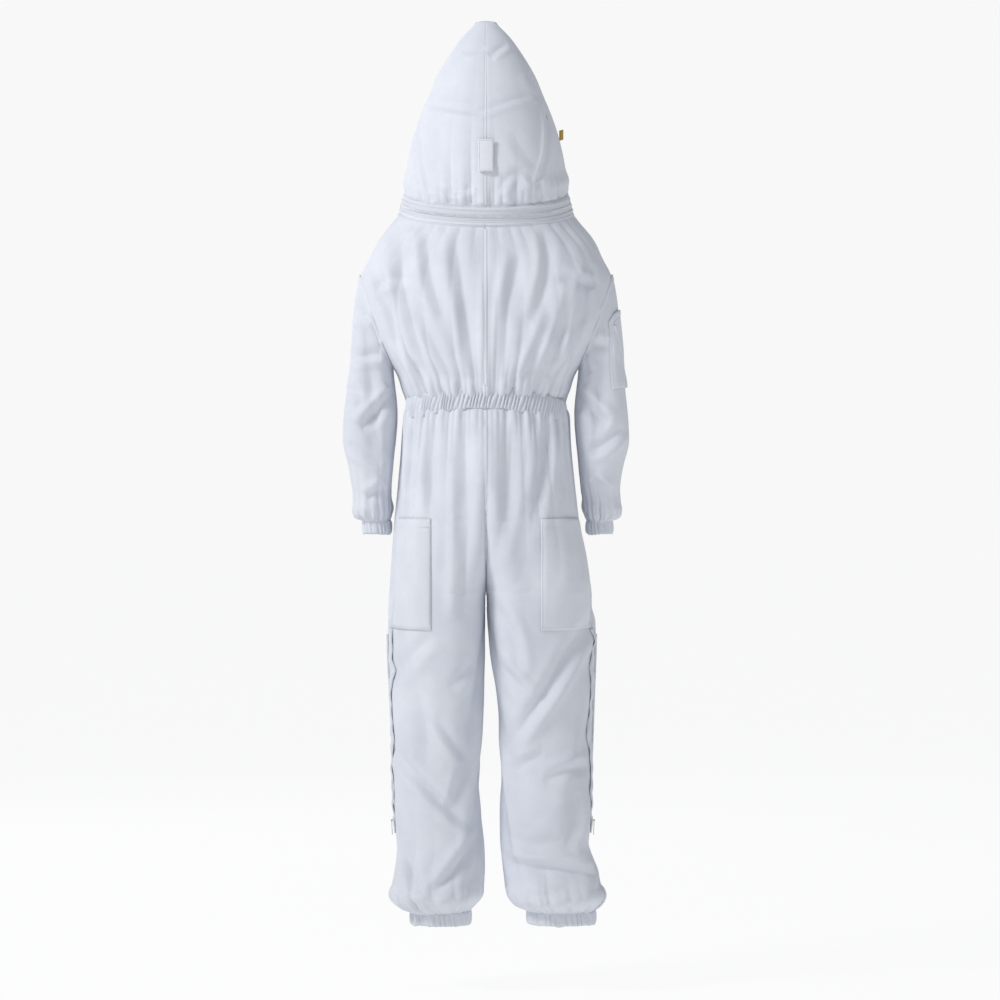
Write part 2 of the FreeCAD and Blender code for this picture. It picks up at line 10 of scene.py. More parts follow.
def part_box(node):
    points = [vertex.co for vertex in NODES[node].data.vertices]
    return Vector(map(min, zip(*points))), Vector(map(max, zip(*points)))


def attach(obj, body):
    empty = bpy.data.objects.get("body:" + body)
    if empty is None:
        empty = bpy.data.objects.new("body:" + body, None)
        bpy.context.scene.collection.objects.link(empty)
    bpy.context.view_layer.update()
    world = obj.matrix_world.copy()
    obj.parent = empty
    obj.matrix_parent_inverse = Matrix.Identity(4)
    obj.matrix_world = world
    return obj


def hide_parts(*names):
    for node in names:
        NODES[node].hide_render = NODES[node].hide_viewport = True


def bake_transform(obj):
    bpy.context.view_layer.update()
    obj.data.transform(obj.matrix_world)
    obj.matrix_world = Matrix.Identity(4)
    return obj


# A white beekeeping coverall with its hood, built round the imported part. Metres; +Z up, front -Y,
# wearer's left +X. Each soft piece starts as a grid sampled from the part's own shells. The torso, legs and
# sleeves are given the spare cloth that their elastics gather, and settle over a dress form by cloth
# simulation. Pleats and folds are then pressed in, and the cloth is cut into panels along its seams.

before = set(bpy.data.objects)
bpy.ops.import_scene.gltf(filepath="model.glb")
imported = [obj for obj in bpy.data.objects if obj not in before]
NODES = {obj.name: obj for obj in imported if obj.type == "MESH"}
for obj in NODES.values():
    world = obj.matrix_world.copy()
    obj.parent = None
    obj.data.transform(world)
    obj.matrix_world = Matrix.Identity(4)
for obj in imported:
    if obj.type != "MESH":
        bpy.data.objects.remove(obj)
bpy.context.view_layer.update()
SEED = 7

# Cloth, in metres
CLOTH_THICKNESS = 0.0009
SIDE_SEAM_Y = 0.025

# Grids: rows run down, and columns from the front past the wearer's left
FINE, FINE_COLUMNS, SLEEVE_FINE = 2, 3, 4  # how many times a simulated grid is refined, down and round
TORSO_ROWS, TORSO_QUARTER = 44, 32
LEG_ROWS = 126
SLEEVE_ROWS, SLEEVE_COLUMNS = 64, 36
HOOD_ROWS = 120
HOOD_COLUMNS = [40, 20, 44]  # half of the veil, one side band, half of the back
QUARTER = TORSO_QUARTER * FINE_COLUMNS
HOOD_SEAMS = [40, 60, 104, 148, 168]

# Where the features lie
ARMHOLE_NORMAL = np.array([math.cos(math.radians(20)), 0, -math.sin(math.radians(20))])
ARMHOLE_POINT = np.array([0.243, 0, -0.145])
NECK_TILT = (38, 17)  # how far the neck zip slopes down in front and behind, in degrees
NECK_CREST = 0.015
HOOD_CAP = 0.003
CHIN_SHARE = 0.895  # how far down the hood its netting ends
WAIST_Z = -0.385
CROTCH_Z = -0.747
WAIST_CASING = (-0.407, -0.363)
WAIST_REAR = 0.030
WRIST_CASING = (-0.637, -0.611)
ANKLE_CASING = (-1.388, -1.361)
FRONT_ZIP = (-0.588, -0.150)
ZIP_FACE = -0.1284
LEG_ZIP = (-1.200, -0.830)
LEG_ZIP_MIDDLE = 0.5 * (LEG_ZIP[0] + LEG_ZIP[1])
LEG_MIDDLE = 0.100
GUARD_Y = (0.024, 0.036)  # the zip guard wanders between these
TAPE_EDGE_Y, TEETH_Y = 0.013, 0.0012  # each leg tape's outer edge, and the edge of its teeth
THIGH_POCKET = (-0.815, -0.606)
THIGH_POCKET_X = 0.104
HIP_POCKET = (-0.565, -0.425)
HIP_POCKET_X = (0.082, 0.148)
CHEST_POCKET = (-0.300, -0.190)
CHEST_POCKET_X = (0.040, 0.146)
SLEEVE_POCKET = (-0.355, -0.205)
FRONT_HOOP = (-0.045, 0.10)  # a hoop's y at z = 0, and its slope
REAR_HOOP = (0.062, -0.175)

# Where cloth bends between bodies
ARM_BLEND = ((0.243, 0, -0.145), (0.285, 0, -0.160))
LEG_BLEND = ((0, 0, -0.73), (0.06, 0, -0.98))

# Which way a side's x runs, and a limb's halves in the order of its columns
SIGNS = {"left": 1, "right": -1}
HALVES = {"left": ("front", "back"), "right": ("back", "front")}

# The angles at which shells are sampled
RING = 360
ANGLES = 2 * np.pi * np.arange(RING) / RING

# The room
FLOOR_Z = -1.517
FLOOR_RADIUS = 60.0
FLOOR_GLOW = 0.967
BACKDROP = (0.939, 0.939, 0.939)
AMBIENT = 0.425
LIGHTS = [("key", (3.1, 2.2, 2.3), 1.2, 124.0), ("fill", (-3.0, 3.0, 0.2), 3.0, 6.0),
          ("front", (1.5, -4.0, 1.8), 3.0, 60.0)]
LIGHT_TARGET = Vector((0, 0, -0.6))
CAMERA = (-0.027, 7.4, -0.571)
LENS = 138.0


# Grids of points


def unit(v):
    return v / np.maximum(np.linalg.norm(v, axis=-1, keepdims=True), 1e-12)


def blur(values, axis, passes, wrap):
    """Smooths along one axis. Without wrap the two ends keep their place."""
    for _ in range(passes):
        if wrap:
            values = 0.25 * np.roll(values, 1, axis) + 0.5 * values + 0.25 * np.roll(values, -1, axis)
            continue
        moved = np.moveaxis(values, axis, 0).copy()
        moved[1:-1] = 0.25 * moved[:-2] + 0.5 * moved[1:-1] + 0.25 * moved[2:]
        values = np.moveaxis(moved, 0, axis)
    return values


def steps_along(points):
    """Distance along a line of points, from its start."""
    gaps = np.linalg.norm(np.diff(points, axis=0), axis=1)
    return np.concatenate([[0], np.cumsum(gaps)])


def interpolated(where, along, values):
    """Rows of values between the rows that are known along a line."""
    return np.stack([np.interp(where, along, values[:, k]) for k in range(values.shape[1])], 1)


def evenly(points, count):
    """count + 1 points, evenly spaced along a line of points."""
    along = steps_along(points)
    return interpolated(np.linspace(0, along[-1], count + 1), along, points)


def normals_of(grid, closed):
    """Outward normals of a grid whose rows run down and whose columns run past the wearer's left."""
    down = np.gradient(grid, axis=0)
    if closed:
        round_it = np.roll(grid, -1, 1) - np.roll(grid, 1, 1)
    else:
        round_it = np.gradient(grid, axis=1)
    return unit(np.cross(down, round_it))


def refine(grid, axis, times, closed):
    """Catmull-Rom points between the grid's own, so that each gap holds times gaps."""
    g = np.moveaxis(grid, axis, 0)
    if closed:
        before, start, end, after = np.roll(g, 1, 0), g, np.roll(g, -1, 0), np.roll(g, -2, 0)
    else:
        padded = np.concatenate([[2 * g[0] - g[1]], g, [2 * g[-1] - g[-2]]])
        before, start, end, after = padded[:-3], padded[1:-2], padded[2:-1], padded[3:]
    parts = []
    for k in range(times):
        t = k / times
        a = 2 * start + (end - before) * t
        b = (2 * before - 5 * start + 4 * end - after) * t**2
        c = (3 * start - before - 3 * end + after) * t**3
        parts.append(0.5 * (a + b + c))
    out = np.stack(parts, 1).reshape(-1, *g.shape[1:])
    if not closed:
        out = np.concatenate([out, g[-1:]])
    return np.moveaxis(out, 0, axis)


def refined(grid, closed, rows=FINE, columns=FINE):
    """The grid refined down and round."""
    return refine(refine(grid, 0, rows, False), 1, columns, closed)


# Sampling the part's own shells


def tree_of(nodes):
    """A search tree of some nodes' faces."""
    points, faces = [], []
    for name in nodes:
        mesh = NODES[name].data
        start = len(points)
        points += [v.co.copy() for v in mesh.vertices]
        faces += [[start + i for i in p.vertices] for p in mesh.polygons]
    return BVHTree.FromPolygons(points, faces)


def direction(angle):
    """From the front, past the wearer's left, to the back."""
    return Vector((math.sin(angle), -math.cos(angle), 0))


def reach(tree, x, y, z, angle, start=0.6):
    """Distance from the upright line at x, y out to a shell's outer face, or nan where there is none."""
    d = direction(angle)
    hit = tree.ray_cast(Vector((x, y, z)) + d * start, -d, start - 0.012)
    return start - hit[3] if hit[0] is not None else float("nan")


def edge_height(tree, x, y, angle, inside, outside):
    """The height between inside and outside at which a shell ends, at one angle."""
    for _ in range(12):
        middle = 0.5 * (inside + outside)
        if math.isnan(reach(tree, x, y, middle, angle)):
            outside = middle
        else:
            inside = middle
    return inside


def filled(values, bulge=0.0):
    """A ring of distances with its gaps bridged. A bridge swells outwards by bulge in its middle."""
    missing = np.isnan(values)
    if not missing.any():
        return values
    n = len(values)
    index = np.arange(n)
    known = index[~missing]
    wrapped = np.concatenate([known - n, known, known + n])
    out = np.interp(index, wrapped, np.tile(values[known], 3))
    if bulge:
        before = np.array([wrapped[wrapped <= i].max() for i in index])
        after = np.array([wrapped[wrapped >= i].min() for i in index])
        span = np.maximum(after - before, 1)
        wide = missing & (span > 8)
        out[wide] += bulge * np.sin(np.pi * (index - before)[wide] / span[wide])
    return out


def ring(tree, middles, heights, angles, bulge=0.0):
    """Points on a shell at one height for each angle, seen from the shell's own middle at that height."""
    centres = np.array([middles(z) for z in heights])
    radii = np.array([reach(tree, x, y, z, a) for (x, y), z, a in zip(centres, heights, angles)])
    radii[radii < 0.012] = np.nan
    radii = blur(filled(radii, bulge), 0, 2, True)
    x = centres[:, 0] + radii * np.sin(angles)
    y = centres[:, 1] - radii * np.cos(angles)
    return np.stack([x, y, heights], 1)


def crossing(points, test, low, high):
    """The fractional index between low and high at which test(points) changes sign."""
    values = test(points[low : high + 1])
    changes = np.nonzero(np.diff(np.sign(values)))[0]
    if len(changes) == 0:
        return float(low if abs(values[0]) < abs(values[-1]) else high)
    i = changes[0]
    return low + i + values[i] / (values[i] - values[i + 1])


def stretch_of(points, start, end, count):
    """Evenly spaced points along a ring between two fractional indices."""
    inner = np.arange(math.ceil(start + 1e-6), math.floor(end - 1e-6) + 1)
    index = np.concatenate([[start], inner, [end]])
    base = np.floor(index).astype(int)
    share = (index - base)[:, None]
    n = len(points)
    line = points[base % n] * (1 - share) + points[(base + 1) % n] * share
    return evenly(line, count)


def sample_torso():
    shell = [f"{part}_{side}" for part in ("front_panel", "back_panel") for side in ("left", "right")]
    tree = tree_of(shell)
    insides = [-0.2 if abs(math.sin(a)) < 0.8 else -0.12 for a in ANGLES]
    tops = np.array([edge_height(tree, 0, 0, a, inside, 0.02) for a, inside in zip(ANGLES, insides)])
    tops = blur(tops, 0, 3, True)
    rows = []
    for s in np.linspace(0, 1, TORSO_ROWS + 1):
        lowest = WAIST_Z + 0.0005
        heights = tops - 0.0005 + (lowest - tops) * s
        points = ring(tree, lambda z: (0, 0), heights, ANGLES, bulge=0.022)
        left = crossing(points, lambda p: p[:, 1] - SIDE_SEAM_Y, RING // 8, RING // 2 - 8)
        stops = [0, left, RING / 2, RING - left, RING]
        parts = [stretch_of(points, a, b, TORSO_QUARTER)[:-1] for a, b in zip(stops, stops[1:])]
        rows.append(np.concatenate(parts))
    return blur(np.array(rows), 0, 1, False)


def limb_middles(nodes, top, across=True):
    """The middle of a limb's shells as a function of height, found slice by slice."""
    points = np.concatenate([[v.co[:] for v in NODES[n].data.vertices] for n in nodes])
    heights = np.arange(top, points[:, 2].min(), -0.03)
    found = []
    for z in heights:
        near = points[np.abs(points[:, 2] - z) < 0.02]
        found.append(0.5 * (near[:, :2].min(0) + near[:, :2].max(0)))
    found = blur(np.array(found), 0, 2, False)
    if not across:
        found[:, 1] = 0
    return lambda z: (np.interp(-z, -heights, found[:, 0]), np.interp(-z, -heights, found[:, 1]))


def inner_share(points, inside, outside):
    """How far from the inside point towards the outside one the plane x = 0 lies."""
    a = points[inside % len(points), 0]
    b = points[outside % len(points), 0]
    return float(np.clip(a / max(a - b, 1e-9), 0, 1))


def sample_leg(side, sign):
    """Half of the trousers, in mirror image for the right side. Its first and last columns are the centre
    seam and, below the crotch, the inseam."""
    shells = [f"{p}_{side}" for p in ("leg_front", "leg_back", "seat_panel", "lower_front_panel")]
    tree = tree_of(shells)
    middles = limb_middles(shells, WAIST_Z, across=False)
    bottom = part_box(f"leg_back_{side}")[0].z + 0.0005
    upper = int(LEG_ROWS * 0.38)
    closing = 1 - (1 - np.linspace(0, 1, upper + 1)) ** 1.25
    heights = np.concatenate([WAIST_Z + (CROTCH_Z - WAIST_Z) * closing[:-1],
                              np.linspace(CROTCH_Z, bottom, LEG_ROWS - upper + 1)])
    rows = []
    for z in heights:
        points = ring(tree, middles, np.full(RING, z), ANGLES)
        points[:, 0] *= sign
        if sign < 0:
            points = np.roll(points[::-1], 1, 0)
        points = np.roll(points, RING // 4, 0)  # now starts at the inner side and runs past the front
        outer = crossing(points, lambda p: p[:, 1] - SIDE_SEAM_Y, RING * 3 // 8, RING * 3 // 4 - 8)
        start, end = 0.0, float(RING)
        above = z > CROTCH_Z + 0.0005
        if above:
            kept = np.nonzero(points[:, 0] > 0)[0]
            start = kept.min() - inner_share(points, kept.min(), kept.min() - 1)
            end = kept.max() + inner_share(points, kept.max(), kept.max() + 1)
        row = np.concatenate([stretch_of(points, start, outer, TORSO_QUARTER),
                              stretch_of(points, outer, end, TORSO_QUARTER)[1:]])
        if above:
            row[[0, -1], 0] = 0
        rows.append(row)
    return np.array(rows)


def sample_sleeve(side, sign):
    """A sleeve from its armhole to its wrist, in mirror image for the right side. Its first column is the
    inner seam."""
    shells = [f"sleeve_front_{side}", f"sleeve_back_{side}"]
    tree = tree_of(shells)
    low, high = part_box(shells[0])
    middles = limb_middles(shells, high.z - 0.12)
    turned = ANGLES - sign * np.pi / 2
    tops = np.array([edge_height(tree, *middles(-0.3), a, -0.42, -0.1) for a in turned])
    tops = blur(tops, 0, 6, True)
    rows = []
    for s in np.linspace(0, 1, SLEEVE_ROWS + 1):
        heights = tops - 0.0008 + (low.z + 0.0008 - tops) * s
        points = ring(tree, middles, heights, turned)
        points[:, 0] *= sign
        if sign < 0:
            points = np.roll(points[::-1], 1, 0)
        rows.append(evenly(np.concatenate([points, points[:1]]), SLEEVE_COLUMNS)[:-1])
    return np.array(rows)


def sample_hood():
    """The hood from its peak to its foot, with fixed columns along both hoops."""
    parts = [f"{p}_{side}" for p in ("hood_back", "hood_side") for side in ("left", "right")]
    tree = tree_of(parts + ["chin_panel", "veil_mesh"])
    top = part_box("veil_mesh")[1].z - 0.003
    feet = np.array([edge_height(tree, 0, -0.01, a, 0.1, -0.12) for a in ANGLES])
    feet = blur(feet, 0, 3, True)
    rows = []
    for s in np.linspace(0, 1, HOOD_ROWS + 1) ** 0.9:
        heights = top + (feet + 0.0005 - top) * s
        points = ring(tree, lambda z: (0, -0.012), heights, ANGLES)
        stops = [0.0]
        for offset, slope in (FRONT_HOOP, REAR_HOOP):
            line = lambda p: p[:, 1] - offset - slope * p[:, 2]
            stops.append(crossing(points, line, 4, RING // 2 - 4))
        stops = stops + [RING / 2] + [RING - stops[2], RING - stops[1], float(RING)]
        counts = HOOD_COLUMNS + HOOD_COLUMNS[::-1]
        parts = [stretch_of(points, a, b, n)[:-1] for a, b, n in zip(stops, stops[1:], counts)]
        rows.append(np.concatenate(parts))
    return np.array(rows)


# Cloth simulation


def grid_faces(rows, columns, closed):
    """The quads of a grid."""
    last = columns if closed else columns - 1
    i, j = np.meshgrid(np.arange(rows - 1), np.arange(last), indexing="ij")
    k = (j + 1) % columns
    upper, lower = i * columns, (i + 1) * columns
    return np.stack([upper + j, lower + j, lower + k, upper + k], -1).reshape(-1, 4)


def mesh_object(name, points, faces):
    """An object made from lists of points and faces."""
    mesh = bpy.data.meshes.new(name)
    mesh.from_pydata(points, [], faces)
    mesh.update()
    obj = bpy.data.objects.new(name, mesh)
    bpy.context.scene.collection.objects.link(obj)
    return obj


def settle(grid, closed, cut, pinned, form, frames=45, bending=0.6):
    """The grid once its cloth, cut to the shape in cut, has settled over a dress form. Pinned points stay."""
    rows, columns = grid.shape[:2]
    faces = grid_faces(rows, columns, closed).tolist()
    body = mesh_object("dress_form", form.reshape(-1, 3).tolist(), faces)
    body.modifiers.new("Collision", "COLLISION")
    body.collision.thickness_outer = 0.002
    body.collision.cloth_friction = 12
    rng = np.random.default_rng(SEED)
    jitter = rng.normal(0, 0.0008, (rows, columns, 1))
    start = grid + normals_of(grid, closed) * jitter * (1 - pinned[..., None])
    cloth = mesh_object("cloth", start.reshape(-1, 3).tolist(), faces)
    cloth.shape_key_add(name="Basis")
    key = cloth.shape_key_add(name="cut")
    key.data.foreach_set("co", cut.reshape(-1))
    group = cloth.vertex_groups.new(name="pinned")
    for index, weight in enumerate(pinned.reshape(-1)):
        if weight > 0:
            group.add([index], float(weight), "REPLACE")
    modifier = cloth.modifiers.new("Cloth", "CLOTH")
    s = modifier.settings
    s.quality = 6
    s.mass = 0.25
    s.tension_stiffness = s.compression_stiffness = 12
    s.shear_stiffness = 6
    s.bending_stiffness = bending
    s.tension_damping = s.compression_damping = s.shear_damping = 8
    s.bending_damping = 0.6
    s.air_damping = 2
    s.vertex_group_mass = "pinned"
    s.rest_shape_key = key
    modifier.collision_settings.use_collision = True
    modifier.collision_settings.distance_min = 0.002
    modifier.collision_settings.collision_quality = 3
    modifier.collision_settings.use_self_collision = False
    modifier.point_cache.frame_start = 1
    modifier.point_cache.frame_end = frames
    scene = bpy.context.scene
    for number in range(1, frames + 1):
        scene.frame_set(number)
    made = cloth.evaluated_get(bpy.context.evaluated_depsgraph_get()).to_mesh()
    out = np.empty(rows * columns * 3)
    made.vertices.foreach_get("co", out)
    for o in (cloth, body):
        bpy.data.objects.remove(o, do_unlink=True)
    scene.frame_set(1)
    return out.reshape(rows, columns, 3)


def fuller(grid, around, down):
    """The cloth as it was cut: each row wider about its own middle by its share in around, and each step down
    longer by its share in down."""
    middle = grid.mean(1, keepdims=True)
    out = middle + (grid - middle) * np.array([1, 1, 0]) * around[:, None, None]
    steps = np.diff(grid[..., 2], axis=0) * down[:-1, None]
    out[..., 2] = grid[:1, :, 2] + np.concatenate([np.zeros((1, grid.shape[1])), np.cumsum(steps, 0)])
    return out


def fade(values, start, end):
    """0 before start and 1 after end, smoothly."""
    t = np.clip((values - start) / (end - start), 0, 1)
    return t * t * (3 - 2 * t)


# Surfaces, and the pieces cut from them


def sampled(values, i, j, closed):
    """Values of a grid at fractional rows i and columns j."""
    rows, columns = values.shape[:2]
    i = np.clip(i, 0, rows - 1)
    j = j % columns if closed else np.clip(j, 0, columns - 1)
    i0 = np.minimum(np.floor(i).astype(int), rows - 2)
    j0 = np.floor(j).astype(int)
    if not closed:
        j0 = np.minimum(j0, columns - 2)
    j1 = (j0 + 1) % columns
    a, b = (i - i0)[..., None], (j - j0)[..., None]
    upper = values[i0, j0] * (1 - b) + values[i0, j1] * b
    lower = values[i0 + 1, j0] * (1 - b) + values[i0 + 1, j1] * b
    return upper * (1 - a) + lower * a


class Surface:
    """A finished stretch of cloth: its points, normals and cut, and the body or joint that it follows."""

    def __init__(self, points, cut, closed, follow):
        self.points, self.cut, self.closed, self.follow = points, cut, closed, follow
        self.normals = blur(blur(normals_of(points, closed), 0, 1, False), 1, 1, closed)

    def facing(self, i, j):
        """Unit normals at fractional rows and columns."""
        i, j = np.broadcast_arrays(np.asarray(i, float), np.asarray(j, float))
        return unit(sampled(self.normals, i, j, self.closed))

    def at(self, i, j, lift=0.0):
        """Points at fractional rows and columns, lifted off the cloth."""
        i, j = np.broadcast_arrays(np.asarray(i, float), np.asarray(j, float))
        return sampled(self.points, i, j, self.closed) + self.facing(i, j) * np.asarray(lift)[..., None]

    def row_at(self, z, column):
        """The fractional row at which a column reaches a height."""
        heights = self.points[:, column, 2]
        return float(np.interp(-z, -heights, np.arange(len(heights))))


def follow(obj, rule):
    """Makes a piece ride on a body. A piece that spans the joint between two is only baked in place, and does
    not bend.
    """
    if isinstance(rule, str):
        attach(obj, rule)
    else:
        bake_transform(obj)


def lengths(grid, axis):
    """Distances along a grid's rows (axis 1) or columns (axis 0), from its first edge."""
    gaps = np.linalg.norm(np.diff(grid, axis=axis), axis=2)
    start = np.zeros_like(np.take(gaps, [0], axis))
    return np.concatenate([start, np.cumsum(gaps, axis)], axis)


def cloth_mesh(name, grid, material, thickness, flat=None, trim=None):
    """A closed sheet: the grid is its outer face. UVs are distances along the cut cloth."""
    rows, columns = grid.shape[:2]
    flat = grid if flat is None else flat
    obj = mesh_object(name, grid.reshape(-1, 3).tolist(), grid_faces(rows, columns, False).tolist())
    u, v = lengths(flat, 1).reshape(-1), lengths(flat, 0).reshape(-1)
    layer = obj.data.uv_layers.new(name="cut")
    corner = np.empty(len(obj.data.loops), int)
    obj.data.loops.foreach_get("vertex_index", corner)
    layer.data.foreach_set("uv", np.stack([u[corner], v[corner]], 1).reshape(-1))
    if trim:
        trim_by_plane(obj, *trim)
    finish_mesh(obj, material, thickness)
    return obj


def trim_by_plane(obj, point, normal):
    bm = bmesh.new()
    bm.from_mesh(obj.data)
    everything = bm.verts[:] + bm.edges[:] + bm.faces[:]
    bmesh.ops.bisect_plane(bm, geom=everything, plane_co=point, plane_no=normal, clear_outer=True)
    bm.to_mesh(obj.data)
    bm.free()


def apply_modifiers(obj):
    made = bpy.data.meshes.new_from_object(obj.evaluated_get(bpy.context.evaluated_depsgraph_get()))
    obj.modifiers.clear()
    obj.data = made


def finish_mesh(obj, material, thickness=0.0):
    if thickness:
        solid = obj.modifiers.new("Thickness", "SOLIDIFY")
        solid.thickness = thickness
        solid.offset = -1
        apply_modifiers(obj)
    obj.data.polygons.foreach_set("use_smooth", [True] * len(obj.data.polygons))
    obj.data.materials.clear()
    obj.data.materials.append(material)


def piece(obj, rule, slot, *nodes):
    """Says what a piece follows and hides the nodes that it replaces. slot, what it is made of, is not used.
    """
    follow(obj, rule)
    if nodes:
        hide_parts(*nodes)
    return obj


def tell_sheet(flat):
    """Works out a sheet's flat size: the width and length of the grid it was cut to. The values are not kept."""
    width, length = float(lengths(flat, 1)[:, -1].max()), float(lengths(flat, 0)[-1].max())


def panel(name, surface, rows, columns, material, slot, nodes, trim=None):
    """A panel of the garment between two rows and two columns of its surface."""
    i = np.arange(rows[0], rows[1] + 1)[:, None]
    j = np.arange(columns[0], columns[1] + 1)[None, :]
    grid = surface.at(i, j)
    flat = sampled(surface.cut, *np.broadcast_arrays(i * 1.0, j * 1.0), surface.closed)
    obj = cloth_mesh(name, grid, material, CLOTH_THICKNESS, flat, trim)
    piece(obj, surface.follow, slot, *nodes)
    tell_sheet(flat)


def ribbon_points(line, normals, profile):
    """Rows of points across a strip that follows a line: profile lists sideways offset and height."""
    along = np.gradient(line, axis=0)
    across = unit(np.cross(normals, along))
    return np.stack([line + across * a + normals * h for a, h in profile], 1)


def strip(name, line, normals, material, rule, slot, width, height, lift=0.0):
    """A low raised strip along a line."""
    half = width / 2
    profile = [(-half, -0.0006 + lift), (-half * 0.8, height * 0.8 + lift), (0, height + lift),
               (half * 0.8, height * 0.8 + lift), (half, -0.0006 + lift)]
    grid = ribbon_points(line, normals, profile)
    return piece(cloth_mesh(name, grid, material, CLOTH_THICKNESS), rule, slot)


def seam(name, surface, i, j, material, slot, width=0.008, height=0.0012, lift=0.0):
    """A felled seam along a line of fractional rows and columns."""
    line, normals = surface.at(i, j), surface.facing(i, j)
    return strip(name, line, normals, material, surface.follow, slot, width, height, lift)


THREADS = {}


def stitch(surface, i, j, offset=0.0, lift=0.0006, pitch=0.0042, length=0.0030, width=0.0007):
    """A row of stitches along a line of fractional rows and columns, offset sideways. Rows that follow the
    same body are gathered into one piece at the end."""
    line, normals = surface.at(i, j), surface.facing(i, j)
    line = line + unit(np.cross(normals, np.gradient(line, axis=0))) * offset
    along = steps_along(line)
    count = int(along[-1] / pitch)
    if count < 1:
        return
    middles = (np.arange(count) + 0.5) * pitch
    ends = [interpolated(middles + k * length / 2, along, line) for k in (-1, 1)]
    up = unit(interpolated(middles, along, normals))
    side = unit(np.cross(up, ends[1] - ends[0])) * width / 2
    rise = up * (lift + 0.0004)
    base = up * (lift - 0.0006)
    corners = [ends[0] + side + base, ends[1] + side + base, ends[1] - side + base, ends[0] - side + base,
               ends[0] * 0.8 + ends[1] * 0.2 + rise, ends[0] * 0.2 + ends[1] * 0.8 + rise]
    points = np.stack(corners, 1).reshape(-1, 3)
    key = json.dumps(surface.follow)
    THREADS.setdefault(key, []).append(points)


STITCH_FACES = [(0, 4, 5, 1), (2, 5, 4, 3), (1, 5, 2), (0, 3, 4), (0, 1, 2, 3)]


def sew_threads(material):
    """One piece for all the stitches that follow the same body."""
    for number, (key, parts) in enumerate(THREADS.items()):
        points = np.concatenate(parts)
        count = len(points) // 6
        faces = [[6 * k + corner for corner in face] for k in range(count) for face in STITCH_FACES]
        obj = mesh_object(f"stitches_{number}", points.tolist(), faces)
        finish_mesh(obj, material)
        rule = json.loads(key)
        piece(obj, rule if isinstance(rule, str) else tuple(rule), "suit_cloth")


# Materials


def shader(name, colour, roughness, sheen=0.0, metallic=0.0):
    material = bpy.data.materials.new(name)
    material.use_nodes = True
    tree = material.node_tree
    base = tree.nodes["Principled BSDF"]
    base.inputs["Base Color"].default_value = (*colour, 1)
    base.inputs["Roughness"].default_value = roughness
    base.inputs["Metallic"].default_value = metallic
    base.inputs["Sheen Weight"].default_value = sheen
    base.inputs["Sheen Roughness"].default_value = 0.4
    return material, tree, base


def node(tree, kind, **values):
    made = tree.nodes.new(kind)
    for key, value in values.items():
        if key in made.inputs:
            made.inputs[key].default_value = value
        else:
            setattr(made, key, value)
    return made


def join(tree, start, output, end, into):
    tree.links.new(start.outputs[output], end.inputs[into])


def woven(name, colour, pitch=0.0011, roughness=0.86, weave=0.5, variation=0.035, slub=0.25):
    """Plain-woven cloth: crossing threads, slubs, faint clouding and fine creasing."""
    material, tree, base = shader(name, colour, roughness, sheen=0.12)
    where = node(tree, "ShaderNodeTexCoord")
    waves = []
    for axis in ("X", "Y"):
        wave = node(tree, "ShaderNodeTexWave", wave_type="BANDS", bands_direction=axis, Scale=0.1591 / pitch,
                    Distortion=0.6)
        wave.inputs["Detail Scale"].default_value = 2.0
        join(tree, where, "UV", wave, "Vector")
        waves.append(wave)
    threads = node(tree, "ShaderNodeMath", operation="MAXIMUM")
    tree.links.new(waves[0].outputs["Fac"], threads.inputs[0])
    tree.links.new(waves[1].outputs["Fac"], threads.inputs[1])
    cloud = node(tree, "ShaderNodeTexNoise", Scale=14.0, Detail=5.0, Roughness=0.6)
    join(tree, where, "Object", cloud, "Vector")
    stretch = node(tree, "ShaderNodeMapping")
    stretch.inputs["Scale"].default_value = (900, 90, 1)
    join(tree, where, "UV", stretch, "Vector")
    slubs = node(tree, "ShaderNodeTexNoise", Scale=1.0, Detail=2.0)
    join(tree, stretch, "Vector", slubs, "Vector")
    ramp = node(tree, "ShaderNodeValToRGB")
    ramp.color_ramp.elements[0].position, ramp.color_ramp.elements[1].position = 0.3, 0.72
    dark = tuple(c * (1 - 2 * variation) for c in colour[:2]) + (colour[2] * (1 - 1.4 * variation),)
    light = tuple(min(1, c * (1 + variation)) for c in colour)
    ramp.color_ramp.elements[0].color = (*dark, 1)
    ramp.color_ramp.elements[1].color = (*light, 1)
    join(tree, cloud, "Fac", ramp, "Fac")
    shade = node(tree, "ShaderNodeMix", data_type="RGBA", blend_type="MULTIPLY")
    shade.inputs["Factor"].default_value = 0.10
    join(tree, ramp, "Color", shade, "A")
    join(tree, threads, 0, shade, "B")
    join(tree, shade, "Result", base, "Base Color")
    fine = node(tree, "ShaderNodeBump", Strength=weave, Distance=0.00018)
    join(tree, threads, 0, fine, "Height")
    soft = node(tree, "ShaderNodeBump", Strength=slub, Distance=0.0003)
    join(tree, slubs, "Fac", soft, "Height")
    join(tree, fine, "Normal", soft, "Normal")
    crease_noise = node(tree, "ShaderNodeTexNoise", Scale=38.0, Detail=4.0, Roughness=0.55, Distortion=0.8)
    join(tree, where, "Object", crease_noise, "Vector")
    creases = node(tree, "ShaderNodeBump", Strength=0.12, Distance=0.0022)
    join(tree, crease_noise, "Fac", creases, "Height")
    join(tree, soft, "Normal", creases, "Normal")
    join(tree, creases, "Normal", base, "Normal")
    return material


